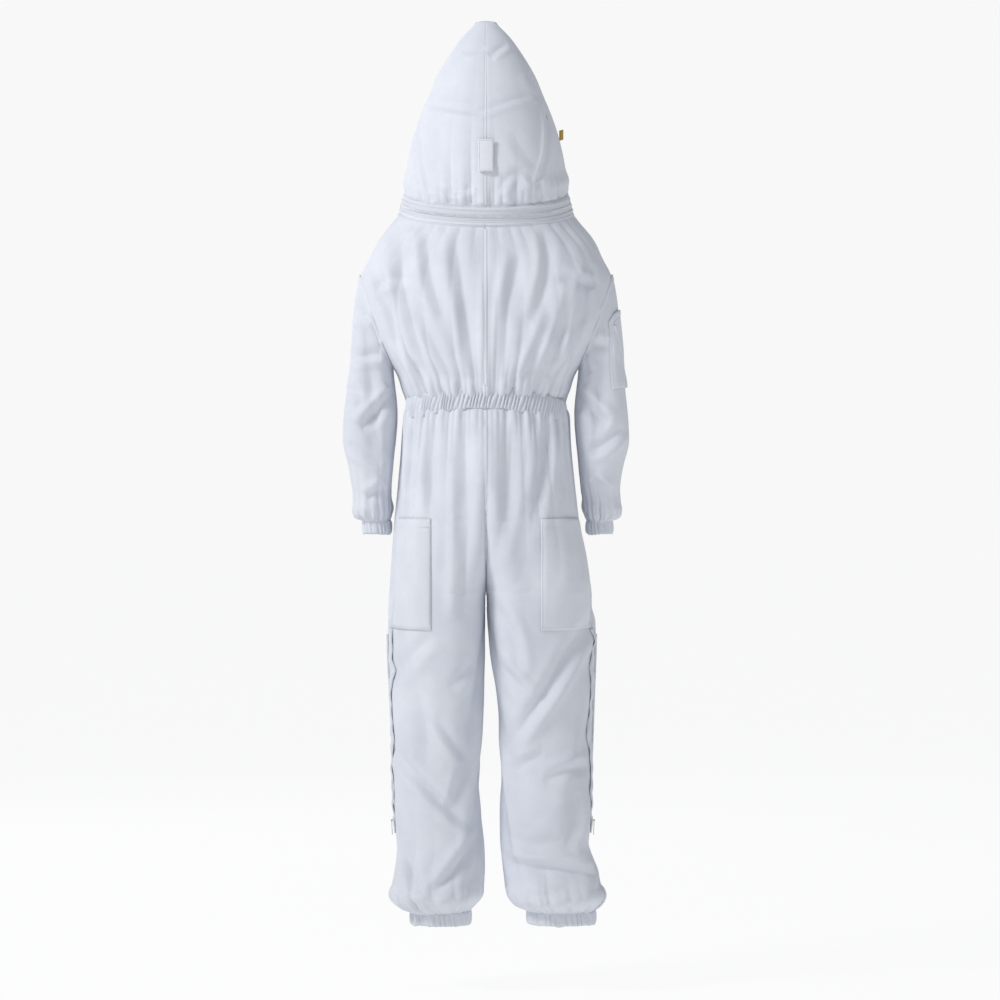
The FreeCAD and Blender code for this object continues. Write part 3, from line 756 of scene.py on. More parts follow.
def netting(name, colour, pitch=0.0016):
    """Open black mesh: round holes between crossing threads."""
    material, tree, base = shader(name, colour, 0.55, sheen=0.05)
    where = node(tree, "ShaderNodeTexCoord")
    scale = node(tree, "ShaderNodeVectorMath", operation="SCALE")
    scale.inputs["Scale"].default_value = 1 / pitch
    join(tree, where, "UV", scale, 0)
    cells = node(tree, "ShaderNodeTexVoronoi", feature="F1", Scale=1.0, Randomness=0.0)
    join(tree, scale, 0, cells, "Vector")
    thread = node(tree, "ShaderNodeMath", operation="GREATER_THAN")
    thread.inputs[1].default_value = 0.36
    join(tree, cells, "Distance", thread, 0)
    bump = node(tree, "ShaderNodeBump", Strength=0.6, Distance=0.0003)
    join(tree, cells, "Distance", bump, "Height")
    join(tree, bump, "Normal", base, "Normal")
    join(tree, thread, 0, base, "Alpha")
    return material


def moulded(name, colour, roughness=0.4, metallic=0.0, grain=120.0):
    """Moulded plastic or plated metal with fine handling marks."""
    material, tree, base = shader(name, colour, roughness, metallic=metallic)
    where = node(tree, "ShaderNodeTexCoord")
    marks = node(tree, "ShaderNodeTexNoise", Scale=grain, Detail=4.0)
    join(tree, where, "Object", marks, "Vector")
    ramp = node(tree, "ShaderNodeValToRGB")
    ramp.color_ramp.elements[0].color = (*[c * 0.72 for c in colour], 1)
    ramp.color_ramp.elements[1].color = (*[min(1, c * 1.1) for c in colour], 1)
    join(tree, marks, "Fac", ramp, "Fac")
    join(tree, ramp, "Color", base, "Base Color")
    bump = node(tree, "ShaderNodeBump", Strength=0.25, Distance=0.0002)
    join(tree, marks, "Fac", bump, "Height")
    join(tree, bump, "Normal", base, "Normal")
    return material


# Folds


def line_through(points, step=0.003):
    """A smooth line of evenly spaced points through a few."""
    points = np.array(points, float)
    if len(points) > 2:
        points = refine(points[:, None], 0, 10, False)[:, 0]
    along = steps_along(points)
    return interpolated(np.linspace(0, along[-1], int(along[-1] / step) + 8), along, points)


def press(points, normals, folds, facing):
    """Presses folds along lines of (x, z) seen from behind (facing 1) or from the front (facing -1). A fold
    is its line, depth and width: a valley with a crest on each side, the fuller one on its left as listed."""
    faces = fade(normals[..., 1] * facing, 0.02, 0.45)
    moved = np.zeros(points.shape[:2])
    for path, depth, width in folds:
        line = line_through(path)
        gap = points[..., None, [0, 2]] - line
        away = np.linalg.norm(gap, axis=-1)
        nearest = away.argmin(-1)
        distance = away.min(-1)
        share = nearest / (len(line) - 1)
        strength = np.sin(np.pi * share) ** 0.6
        heading = unit(np.gradient(line, axis=0))[nearest]
        offset = np.take_along_axis(gap, nearest[..., None, None], -2)[..., 0, :]
        side = np.sign(heading[..., 0] * offset[..., 1] - heading[..., 1] * offset[..., 0])
        valley = 0.5 * np.exp(-((distance / width) ** 2)) + 0.6 * np.exp(-1.3 * distance / width)
        crest = np.exp(-(((distance - 1.8 * width) / (0.95 * width)) ** 2))
        moved += depth * strength * faces * (crest * (0.5 + 0.3 * side) - 0.8 * valley)
    return points + normals * moved[..., None]


def turned_folds(folds, sign):
    """Folds of the right side, in mirror image."""
    return [([(sign * x, z) for x, z in path], depth, width) for path, depth, width in folds]


def noise_line(count, step, seed):
    """A smooth random line, about -1 to 1, that repeats after count samples."""
    rng = np.random.default_rng(seed)
    knots = rng.uniform(-1, 1, max(int(count / step), 4))
    knots = np.concatenate([knots, knots[:1]])
    where = np.arange(count) * (len(knots) - 1) / count
    base = np.floor(where).astype(int)
    t = fade(where - base, 0, 1)
    return knots[base] * (1 - t) + knots[base + 1] * t


def pleats(grid, away, closed, height, reach_out, pitch, seed, slant=0.0):
    """How far small pleats lift a grid: they start where away is 0 and die out over reach_out metres."""
    around = lengths(grid, 1).mean(0)
    columns = len(around)
    total = around[-1] + (around[1] if closed else 0)
    count = max(round(total / pitch), 3)
    warp = 0.35 * noise_line(columns, columns / count * 2.2, seed)
    strength = 0.72 + 0.28 * noise_line(columns, columns / count, seed + 1)
    longer = 1 + 0.45 * noise_line(columns, columns / count * 1.3, seed + 2)
    phase = around / total * count + warp + slant * away
    hill = 2 * np.abs(np.sin(np.pi * phase)) ** 0.7 - 1.15
    return height * strength * hill * np.exp(-np.abs(away) / (reach_out * longer))


def seam_dips(columns, at, period, depth, width=1.6):
    """The slight hollow that a seam draws along itself."""
    j = np.arange(columns)
    dip = np.zeros(columns)
    for column in at:
        gap = np.abs(j - column)
        gap = np.minimum(gap, period - gap) if period else gap
        dip -= depth * np.exp(-((gap / width) ** 2))
    return dip


def mirrored(grid, closed):
    """The other side's grid, with its columns still running the same way round."""
    out = grid[:, ::-1] * np.array([-1, 1, 1])
    return np.roll(out, 1, 1) if closed else out


def broad_folds(settled, start, closed, limit, passes=3):
    """The settled cloth without its finest ripples, kept within a distance of where it started."""
    moved = blur(blur(settled - start, 0, passes, False), 1, passes, closed)
    size = np.linalg.norm(moved, axis=-1, keepdims=True)
    return start + moved * np.minimum(1, limit / np.maximum(size, 1e-9))


def form_under(grid, closed, inset):
    """A dress form at some depth under the cloth."""
    return grid - normals_of(grid, closed) * inset[..., None]


def near_line(values, half, soft):
    """1 within half of 0, fading to 0 over soft."""
    return 1 - fade(np.abs(values), half, half + soft)


def make_torso():
    grid = sample_torso()
    rows = len(grid)
    down = np.linspace(0, 1, rows)
    cut = fuller(grid, 1.03 + 0.42 * fade(down, 0.35, 1.0), np.full(rows, 1.05))
    pinned = np.zeros(grid.shape[:2])
    pinned[:2] = pinned[-2:] = 1
    pinned = np.maximum(pinned, fade(-inside_armhole(grid), -0.012, -0.002))
    zip_strip = near_line(grid[..., 0], 0.016, 0.012) * (grid[..., 1] < 0)
    pinned = np.maximum(pinned, zip_strip)
    inset = np.tile((0.012 * fade(1 - down, 0, 0.15) + 0.004)[:, None], (1, grid.shape[1]))
    settled = settle(grid, True, cut, pinned, form_under(grid, True, inset))
    grid = broad_folds(settled, grid, True, 0.016)
    grid, cut = [refined(g, True, FINE, FINE_COLUMNS) for g in (grid, cut)]
    normals = blur(normals_of(grid, True), 1, 2, True)
    held = fade(inside_armhole(grid), 0.004, 0.03)
    above_waist = grid[..., 2] - (WAIST_Z + 0.02)
    rear = fade(grid[..., 1], 0.0, 0.04)
    lift = pleats(grid, above_waist, True, 0.0040, 0.028, 0.019, SEED) * (0.25 + 0.75 * rear)
    lift += pleats(grid, above_waist, True, 0.0075, 0.110, 0.045, SEED + 5) * (0.2 + 0.8 * rear)
    from_neck = grid[:1, :, 2] - grid[..., 2]
    lift += pleats(grid, from_neck, True, 0.0022, 0.040, 0.034, SEED + 9)
    lift *= fade(from_neck, 0.0, 0.012) * fade(above_waist, -0.02, 0.0) * held
    lift += seam_dips(grid.shape[1], [QUARTER * k for k in (1, 2, 3)], grid.shape[1], 0.0012)
    grid = grid + normals * (lift * (1 - zip_band(grid)))[..., None]
    grid = press(grid, normals * held[..., None], TORSO_FOLDS, 1)
    grid = press(grid, normals * (held * (1 - zip_band(grid)))[..., None], TORSO_FRONT_FOLDS, -1)
    return Surface(flat_under_zip(grid), cut, True, "torso")


def inside_armhole(grid):
    """Distance from the armhole's plane, on the torso's side of it."""
    out = (np.abs(grid[..., 0]) - ARMHOLE_POINT[0]) * ARMHOLE_NORMAL[0]
    return -(out + (grid[..., 2] - ARMHOLE_POINT[2]) * ARMHOLE_NORMAL[2])


def zip_band(grid):
    """1 on the cloth under the front zip."""
    return near_line(grid[..., 0], 0.020, 0.012) * (grid[..., 1] < 0)


def flat_under_zip(grid):
    """Cloth behind the front zip lies flat against its tapes."""
    middle, half = 0.5 * (FRONT_ZIP[0] + FRONT_ZIP[1]), 0.5 * (FRONT_ZIP[1] - FRONT_ZIP[0])
    share = zip_band(grid) * near_line(grid[..., 2] - middle, half, 0.02)
    out = grid.copy()
    out[..., 1] = np.where(grid[..., 1] < 0, grid[..., 1] * (1 - share) + ZIP_FACE * share, grid[..., 1])
    return out


def make_leg(side, sign):
    grid = sample_leg(side, sign)
    z = grid[:, TORSO_QUARTER, 2]
    rows = len(grid)
    cut = fuller(grid, 1.02 + 0.30 * fade(z, -0.56, -0.40) + 0.5 * fade(-z, 1.27, 1.36), np.full(rows, 1.05))
    pinned = np.zeros(grid.shape[:2])
    pinned[:2] = pinned[-4:] = 1
    pinned[:, [0, -1]] = 1
    outer = grid[..., 0] > LEG_MIDDLE
    beside_zip = near_line(z - LEG_ZIP_MIDDLE, 0.185, 0.07)[:, None]
    leg_zip = near_line(grid[..., 1], 0.015, 0.014) * outer * beside_zip
    front_zip = zip_band(grid) * (grid[..., 2] > FRONT_ZIP[0] - 0.01)
    pinned = np.maximum(pinned, np.maximum(leg_zip, front_zip))
    inset = 0.014 * fade(z, -1.36, -1.30) * (1 - fade(z, -0.45, -0.40)) + 0.004
    from_seam = np.minimum(np.arange(grid.shape[1]), grid.shape[1] - 1 - np.arange(grid.shape[1]))
    inset = inset[:, None] * np.minimum(1, from_seam / 6)[None, :]
    settled = settle(grid, False, cut, pinned, form_under(grid, False, inset))
    grid = broad_folds(settled, grid, False, 0.018)
    grid, cut = [refined(g, False, FINE, FINE_COLUMNS) for g in (grid, cut)]
    normals = blur(normals_of(grid, False), 1, 2, False)
    free = np.sin(np.pi * np.linspace(0, 1, grid.shape[1])) ** 0.35
    height = grid[..., 2]
    rear = fade(grid[..., 1], 0.0, 0.04)
    zip_held = near_line(grid[..., 1], 0.018, 0.014) * (grid[..., 0] > LEG_MIDDLE)
    zip_held *= near_line(height - LEG_ZIP_MIDDLE, 0.19, 0.02)
    from_waist = WAIST_Z - 0.022 - height
    lift = pleats(grid, from_waist, False, 0.0040, 0.032, 0.019, SEED + 11 + sign) * (0.25 + 0.75 * rear)
    lift += pleats(grid, from_waist, False, 0.0070, 0.115, 0.038, SEED + 15 + sign) * (0.2 + 0.8 * rear)
    lift *= fade(from_waist, -0.02, 0.0)
    from_ankle = height - ANKLE_CASING[1]
    ankle = pleats(grid, from_ankle, False, 0.0045, 0.022, 0.017, SEED + 21 + sign)
    ankle += pleats(grid, from_ankle, False, 0.0055, 0.050, 0.036, SEED + 25 + sign)
    blouse = 0.010 * np.exp(-(((from_ankle - 0.030) / 0.022) ** 2))
    lift += (ankle + blouse) * fade(from_ankle, -0.004, 0.012)
    lift = lift * free * (1 - zip_held)
    lift += seam_dips(grid.shape[1], [QUARTER], 0, 0.0012)
    grid = grid + normals * (lift * (1 - zip_band(grid)))[..., None]
    grid = press(grid, normals * (free * (1 - zip_held))[..., None], turned_folds(LEG_FOLDS[side], sign), 1)
    front = free * (1 - zip_held) * (1 - zip_band(grid))
    grid = press(grid, normals * front[..., None], LEG_FRONT_FOLDS, -1)
    centre = height > CROTCH_Z
    grid[..., 0] = np.where(centre, np.maximum(grid[..., 0], 0), np.maximum(grid[..., 0], 0.0012))
    grid = flat_under_zip(grid)
    if sign < 0:
        grid, cut = mirrored(grid, False), mirrored(cut, False)
    return Surface(grid, cut, False, blend_rule(f"{side}_leg", LEG_BLEND, sign))


def blend_rule(body, ends, sign):
    """How a limb's cloth bends away from the torso."""
    start, end = ((sign * x, y, z) for x, y, z in ends)
    return "torso", body, start, end


def armhole_rim(sign):
    """Where the torso's cloth meets the armhole's plane, in mirror image for the right side."""
    grid = TORSO.points * np.array([sign, 1, 1])
    inside = inside_armhole(grid)
    crosses = (inside[:-1] * inside[1:] < 0) & (grid[:-1, :, 0] > 0.1)
    share = (inside[:-1] / (inside[:-1] - inside[1:] + 1e-12))[..., None]
    return (grid[:-1] * (1 - share) + grid[1:] * share)[crosses]


def joined_to_torso(grid, sign):
    """A sleeve whose upper edge is drawn onto the armhole's rim."""
    rim = armhole_rim(sign)
    middle = 0.5 * (rim.min(0) + rim.max(0))
    up = np.array([-ARMHOLE_NORMAL[2], 0, ARMHOLE_NORMAL[0]])
    angle_of = lambda points: np.arctan2((points - middle)[:, 1], (points - middle) @ up)
    angles = angle_of(rim)
    order = np.argsort(angles)
    turns = angle_of(grid[0])
    target = [np.interp(turns, angles[order], rim[order, k], period=2 * np.pi) for k in range(3)]
    drawn = 1 - fade(lengths(grid, 0), 0, 0.06)
    return grid + (np.stack(target, 1) - grid[0])[None] * drawn[..., None]


def make_sleeve(side, sign):
    grid = sample_sleeve(side, sign)
    rows = len(grid)
    down = np.linspace(0, 1, rows)
    cut = fuller(grid, 1.03 + 0.6 * fade(down, 0.78, 0.97), np.full(rows, 1.07))
    pinned = np.zeros(grid.shape[:2])
    pinned[:2] = pinned[-4:] = 1
    inset = np.tile((0.014 * (1 - fade(down, 0.8, 0.95)) + 0.003)[:, None], (1, grid.shape[1]))
    settled = settle(grid, True, cut, pinned, form_under(grid, True, inset))
    grid = broad_folds(settled, grid, True, 0.014)
    grid, cut = [refined(g, True, FINE, SLEEVE_FINE) for g in (grid, cut)]
    normals = blur(normals_of(grid, True), 1, 2, True)
    height = grid[..., 2]
    from_wrist = height - WRIST_CASING[1]
    lift = pleats(grid, from_wrist, True, 0.0035, 0.020, 0.014, SEED + 31 + sign)
    lift += pleats(grid, from_wrist, True, 0.0040, 0.045, 0.028, SEED + 35 + sign)
    lift += 0.006 * np.exp(-(((from_wrist - 0.022) / 0.016) ** 2))
    lift *= fade(from_wrist, -0.004, 0.010)
    from_top = lengths(grid, 0)
    lift += pleats(grid, from_top, True, 0.0018, 0.030, 0.040, SEED + 41) * fade(from_top, 0, 0.01)
    grid = grid + normals * lift[..., None]
    held = fade(from_top, 0.004, 0.03)
    grid = press(grid, normals * held[..., None], turned_folds(SLEEVE_FOLDS[side], sign), 1)
    grid = press(grid, normals * held[..., None], SLEEVE_FRONT_FOLDS, -1)
    grid = joined_to_torso(grid, sign)
    if sign < 0:
        grid, cut = mirrored(grid, True), mirrored(cut, True)
    return Surface(grid, cut, True, blend_rule(f"{side}_sleeve", ARM_BLEND, sign))


def make_hood():
    grid = sample_hood()
    top = grid[0]
    middle = top.mean(0)
    cap = [middle + (top - middle) * share + np.array([0, 0, HOOD_CAP * (1 - share**2)])
           for share in (0.04, 0.4, 0.75)]
    grid = refined(np.concatenate([cap, grid]), True, FINE, FINE)
    cut = grid.copy()
    normals = blur(normals_of(grid, True), 1, 2, True)
    from_foot = grid[..., 2] - grid[-1:, :, 2]
    cloth = 1 - hood_mesh_share(grid.shape[1])
    seams = [FINE * c for c in HOOD_SEAMS]
    lift = pleats(grid, from_foot, True, 0.0042, 0.024, 0.017, SEED + 51) * cloth
    lift += pleats(grid, from_foot, True, 0.0060, 0.055, 0.038, SEED + 55) * cloth
    lift *= fade(from_foot, 0, 0.010)
    lift += 0.007 * np.exp(-(((from_foot - 0.030) / 0.018) ** 2)) * cloth * fade(from_foot, 0, 0.012)
    lift += seam_dips(grid.shape[1], seams, grid.shape[1], 0.0014)
    grid = grid + normals * lift[..., None]
    high = (1 - fade(grid[..., 2], 0.30, 0.34))[..., None]
    grid = press(grid, normals * high, HOOD_FOLDS, 1)
    return Surface(grid, cut, True, "hood")


def hood_mesh_share(columns):
    """1 on the front of the hood, where it is mesh, and 0 behind the front hoop."""
    j = np.arange(columns) / FINE
    side = HOOD_COLUMNS[0]
    gap = np.minimum(j, columns / FINE - j)
    return 1 - fade(gap, side - 2, side)


# Pieces


def gathered_band(name, line, normals, height, rule, nodes, count, seed, slant, puff, closed=True, swell=1.0):
    """An elastic's casing: a puffed band with fine pleats pressed across it."""
    rows = 11
    up = np.array([0, 0, 1.0])
    v = np.linspace(-1, 1, rows)[:, None]
    columns = len(line)
    j = np.arange(columns)
    turn = 0.5 * noise_line(columns, columns / count * 1.5, seed)
    depth = 0.7 + 0.3 * noise_line(columns, columns / count, seed + 1)
    phase = j / columns * count + turn + slant * v
    hill = np.abs(np.sin(np.pi * phase)) ** 0.8
    profile = np.sqrt(np.maximum(1 - v**2, 0))
    lift = (0.0006 + puff * profile * (0.25 + 0.75 * hill * depth) + 0.0014 * hill) * swell
    waver = 0.0016 * noise_line(columns, columns / count * 2, seed + 2) + 0.0010 * (hill[0] - 0.5)
    half = height / 2 * (1 + 0.06 * noise_line(columns, columns / count * 1.2, seed + 3))
    grid = line + up * (v * half + waver)[..., None] + normals * lift[..., None]
    grid = grid[::-1]  # rows run down
    if closed:
        grid = np.concatenate([grid, grid[:, :1]], 1)
    obj = cloth_mesh(name, grid, CASING, CLOTH_THICKNESS)
    piece(obj, rule, "casing_cloth", *nodes)
    tell_sheet(grid)


def ring_of(surface, z, columns):
    """A line round a surface at one height, and its normals."""
    count = surface.points.shape[1]
    last = count if surface.closed else count - 1
    j = np.linspace(0, last, columns, endpoint=not surface.closed)
    whole = np.meshgrid(np.arange(len(surface.points)) * 1.0, j, indexing="ij")
    heights = sampled(surface.points, *whole, surface.closed)[..., 2]
    i = np.array([np.interp(-z, -heights[:, k], np.arange(len(heights))) for k in range(len(j))])
    return surface.at(i, j), surface.facing(i, j)


def make_waist_casing():
    """The casing of the rear waist elastic, from side to side over the joined torso and trousers."""
    points, normals = ring_of(TORSO, WAIST_Z + 0.001, 2400)
    rear = points[:, 1] > WAIST_REAR
    points, normals = points[rear], normals[rear]
    normals = unit(blur(normals * np.array([1, 1, 0]), 0, 60, False))
    points = blur(points, 0, 60, False)
    across = points[:, 0] / np.abs(points[:, 0]).max()
    rise = 0.009 + 0.002 * across - 0.026 * across**2
    from_end = np.minimum(np.arange(len(points)), np.arange(len(points))[::-1]) / len(points)
    swell = fade(from_end, -0.01, 0.05)
    points += normals * ((0.002 + 0.12 * np.abs(rise)) * swell)[:, None]
    points[:, 2] += rise
    gathered_band("waist_gather", points, normals, WAIST_CASING[1] - WAIST_CASING[0], "torso",
                  ["waist_casing", "waist_elastic"], 54, SEED + 61, -0.8, 0.0058, closed=False, swell=swell)


def make_limb_casing(kind, side, surface, z_low, z_high, count, seed):
    points, normals = ring_of(surface, 0.5 * (z_low + z_high), 900)
    if not surface.closed:
        points, normals = points[:-1], normals[:-1]
    normals = unit(normals * np.array([1, 1, 0]))
    gathered_band(f"{kind}_gather_{side}", points, normals, z_high - z_low, surface.follow,
                  [f"{kind}_casing_{side}", f"{kind}_elastic_{side}"], count, seed, 0.25, 0.003)


def rows_between(surface, column, z_top, z_bottom, count):
    return np.linspace(surface.row_at(z_top, column), surface.row_at(z_bottom, column), count)


def track(surface, rows, axis, value, first, last):
    """For each row, the column between first and last at which the surface reaches a value of x (axis 0) or y
    (axis 1)."""
    columns = np.arange(first, last + 1)
    out = []
    for row in rows:
        line = sampled(surface.points, np.full(len(columns), row), columns * 1.0, surface.closed)[:, axis]
        order = np.argsort(line)
        out.append(np.interp(value, line[order], columns[order]))
    return np.array(out)


def between(rows, start, end, count):
    """A grid's rows and columns, between two tracks of columns."""
    share = np.linspace(0, 1, count)[None, :]
    columns = np.asarray(start)[:, None] * (1 - share) + np.asarray(end)[:, None] * share
    return np.repeat(np.asarray(rows)[:, None], count, 1), columns


def pocket(name, surface, rows, start, end, nodes, hem=0.10, height=0.0018, columns=40):
    """A patch pocket between two tracks of columns: its edges are turned under and stitched, and its mouth is
    hemmed over the top share of its height."""
    count = len(rows)
    i, j = between(rows, start, end, columns)
    v, u = np.meshgrid(np.linspace(0, 1, count), np.linspace(0, 1, columns), indexing="ij")
    edge = np.minimum(np.minimum(u, 1 - u) * 14, np.minimum(v, 1 - v) * 22)
    bulge = 0.0014 * fade(edge, 0, 1) * (1 - 0.35 * fade(edge, 1, 2))
    bulge = bulge + 0.0025 * np.sin(np.pi * u) * np.sin(np.pi * v)
    bulge += 0.0022 * (1 - fade(v, 0.0, 0.10)) * np.sin(np.pi * u)
    grid = surface.at(i, j, height + bulge)
    obj = cloth_mesh(name, grid, POCKET, CLOTH_THICKNESS)
    piece(obj, surface.follow, "pocket_cloth", *nodes)
    tell_sheet(grid)
    for column in (1, columns - 2):
        stitch(surface, i[1:-1, column], j[1:-1, column], lift=height + 0.0012)
    stitch(surface, i[-2, 1:-1], j[-2, 1:-1], lift=height + 0.0012)
    mouth = int(round(hem * (count - 1)))
    stitch(surface, i[mouth, 1:-1], j[mouth, 1:-1], lift=height + 0.0022)


# Folds that the cloth holds, as (path of (x, z), depth, width)

TORSO_FOLDS = [
    ([(0.162, -0.064), (0.158, -0.162), (0.109, -0.347)], 0.0108, 0.014),
    ([(0.060, -0.055), (0.040, -0.200), (0.021, -0.347)], 0.0081, 0.013),
    ([(-0.066, -0.103), (-0.043, -0.201), (-0.033, -0.357)], 0.0088, 0.013),
    ([(-0.174, -0.162), (-0.150, -0.250), (-0.115, -0.337)], 0.0108, 0.014),
    ([(0.212, -0.120), (0.193, -0.177), (0.177, -0.224), (0.168, -0.333)], 0.0108, 0.013),
    ([(-0.205, -0.120), (-0.186, -0.220), (-0.164, -0.345)], 0.0108, 0.013),
    ([(0.115, -0.050), (0.105, -0.140), (0.080, -0.230)], 0.0061, 0.011),
    ([(-0.110, -0.050), (-0.118, -0.130), (-0.092, -0.235)], 0.0061, 0.011),
    ([(-0.020, -0.130), (-0.010, -0.240), (-0.008, -0.350)], 0.0047, 0.010),
    ([(0.135, -0.190), (0.100, -0.270), (0.062, -0.350)], 0.0068, 0.011),
    ([(-0.128, -0.215), (-0.100, -0.290), (-0.072, -0.350)], 0.0068, 0.011),
    ([(0.222, -0.160), (0.150, -0.145)], 0.0054, 0.010),
    ([(-0.222, -0.165), (-0.140, -0.150)], 0.0054, 0.010),
]
TORSO_FRONT_FOLDS = [
    ([(0.160, -0.070), (0.140, -0.180), (0.110, -0.340)], 0.0075, 0.012),
    ([(-0.155, -0.080), (-0.148, -0.190), (-0.105, -0.345)], 0.0075, 0.012),
    ([(0.085, -0.110), (0.075, -0.230), (0.060, -0.350)], 0.0050, 0.011),
    ([(-0.090, -0.100), (-0.070, -0.240), (-0.055, -0.350)], 0.0050, 0.011),
    ([(0.215, -0.150), (0.180, -0.250), (0.165, -0.350)], 0.0070, 0.011),
    ([(-0.215, -0.150), (-0.182, -0.245), (-0.162, -0.350)], 0.0070, 0.011),
]
LEG_FOLDS = {
    "left": [
        ([(0.041, -0.435), (0.036, -0.620), (0.041, -0.805)], 0.0120, 0.014),
        ([(0.182, -1.045), (0.120, -1.112), (0.062, -1.168), (0.025, -1.200)], 0.0100, 0.010),
        ([(0.095, -0.985), (0.060, -1.035), (0.035, -1.068)], 0.0070, 0.010),
        ([(0.035, -1.060), (0.048, -1.110), (0.066, -1.165)], 0.0060, 0.010),
        ([(0.004, -1.205), (0.051, -1.269), (0.105, -1.330)], 0.0105, 0.011),
        ([(0.156, -1.245), (0.140, -1.280), (0.122, -1.322)], 0.0065, 0.011),
        ([(0.184, -1.305), (0.152, -1.338), (0.095, -1.346)], 0.0060, 0.009),
        ([(0.100, -0.420), (0.105, -0.520), (0.090, -0.610)], 0.0065, 0.012),
        ([(0.130, -0.420), (0.138, -0.500), (0.132, -0.580)], 0.0050, 0.011),
        ([(0.185, -0.915), (0.145, -0.870), (0.100, -0.825)], 0.0060, 0.013),
        ([(0.070, -0.930), (0.030, -0.890), (0.000, -0.850)], 0.0070, 0.011),
        ([(0.150, -0.890), (0.118, -0.990), (0.112, -1.090)], 0.0060, 0.015),
    ],
    "right": [
        ([(-0.205, -0.790), (-0.165, -0.850), (-0.115, -0.935), (-0.035, -1.050)], 0.0135, 0.013),
        ([(-0.020, -0.875), (-0.055, -0.920), (-0.090, -0.950)], 0.0075, 0.010),
        ([(-0.052, -1.092), (-0.080, -1.070), (-0.112, -1.056)], 0.0055, 0.009),
        ([(-0.110, -1.110), (-0.150, -1.090), (-0.200, -1.082)], 0.0065, 0.011),
        ([(-0.028, -1.262), (-0.080, -1.272), (-0.140, -1.275), (-0.225, -1.292)], 0.0125, 0.011),
        ([(-0.030, -1.205), (-0.085, -1.228), (-0.150, -1.222)], 0.0060, 0.013),
        ([(-0.040, -1.310), (-0.085, -1.328), (-0.150, -1.322)], 0.0060, 0.010),
        ([(-0.050, -0.420), (-0.045, -0.540), (-0.018, -0.690)], 0.0080, 0.013),
        ([(-0.120, -0.420), (-0.105, -0.520), (-0.085, -0.640)], 0.0065, 0.012),
        ([(-0.080, -0.420), (-0.078, -0.490), (-0.070, -0.560)], 0.0050, 0.010),
        ([(-0.010, -0.760), (-0.050, -0.830), (-0.062, -0.910)], 0.0065, 0.012),
        ([(-0.180, -1.130), (-0.170, -1.190), (-0.150, -1.240)], 0.0050, 0.012),
    ],
}
LEG_FRONT_FOLDS = [
    ([(0.060, -0.430), (0.058, -0.560), (0.070, -0.700)], 0.0060, 0.012),
    ([(0.020, -0.760), (0.080, -0.850), (0.150, -0.890)], 0.0065, 0.013),
    ([(0.160, -0.980), (0.090, -1.040), (0.040, -1.060)], 0.0070, 0.014),
    ([(0.040, -1.130), (0.100, -1.180), (0.165, -1.190)], 0.0070, 0.013),
    ([(0.150, -1.255), (0.090, -1.285), (0.045, -1.290)], 0.0070, 0.012),
    ([(0.060, -1.320), (0.120, -1.325)], 0.0060, 0.010),
]
SLEEVE_FOLDS = {
    "left": [
        ([(0.272, -0.205), (0.2145, -0.224), (0.180, -0.2495)], 0.0078, 0.010),
        ([(0.268, -0.300), (0.216, -0.292), (0.180, -0.288)], 0.0072, 0.010),
        ([(0.172, -0.3665), (0.205, -0.400), (0.240, -0.437)], 0.0104, 0.011),
        ([(0.262, -0.460), (0.215, -0.490), (0.190, -0.500)], 0.0065, 0.010),
        ([(0.190, -0.545), (0.230, -0.570)], 0.0059, 0.009),
        ([(0.262, -0.355), (0.235, -0.372)], 0.0052, 0.009),
    ],
    "right": [
        ([(-0.172, -0.3665), (-0.200, -0.396), (-0.235, -0.430)], 0.0104, 0.011),
        ([(-0.265, -0.430), (-0.225, -0.465), (-0.190, -0.480)], 0.0072, 0.010),
        ([(-0.185, -0.255), (-0.215, -0.275), (-0.245, -0.280)], 0.0065, 0.010),
        ([(-0.200, -0.530), (-0.235, -0.560)], 0.0059, 0.009),
        ([(-0.180, -0.300), (-0.200, -0.330)], 0.0052, 0.009),
    ],
}
SLEEVE_FRONT_FOLDS = [
    ([(0.180, -0.360), (0.215, -0.380), (0.255, -0.385)], 0.0070, 0.010),
    ([(0.185, -0.400), (0.220, -0.420), (0.250, -0.430)], 0.0060, 0.009),
    ([(0.260, -0.240), (0.215, -0.260), (0.185, -0.290)], 0.0055, 0.010),
    ([(0.195, -0.520), (0.235, -0.550)], 0.0045, 0.008),
]
HOOD_FOLDS = [
    ([(0.117, 0.189), (0.027, 0.170), (0.000, 0.174), (-0.062, 0.197), (-0.109, 0.209)], 0.0030, 0.007),
    ([(0.045, 0.288), (0.020, 0.292), (0.000, 0.298)], 0.0022, 0.007),
    ([(-0.006, 0.281), (-0.041, 0.308)], 0.0036, 0.007),
    ([(-0.085, 0.255), (-0.105, 0.215), (-0.110, 0.190)], 0.0025, 0.010),
    ([(-0.057, 0.022), (-0.070, 0.049), (-0.103, 0.037)], 0.0036, 0.009),
    ([(0.109, 0.028), (0.045, 0.016), (0.027, 0.030)], 0.0045, 0.007),
    ([(-0.050, 0.130), (-0.085, 0.075), (-0.110, 0.060)], 0.0018, 0.012),
    ([(-0.020, 0.012), (-0.045, 0.045), (-0.075, 0.062)], 0.0028, 0.008),
    ([(0.095, 0.150), (0.085, 0.100), (0.100, 0.060)], 0.0016, 0.012),
    ([(-0.112, 0.195), (-0.119, 0.150), (-0.116, 0.090), (-0.101, 0.033)], 0.0040, 0.0045),
    ([(0.118, 0.190), (0.128, 0.140), (0.122, 0.080), (0.110, 0.020)], 0.0030, 0.0045),
]


# The finishes

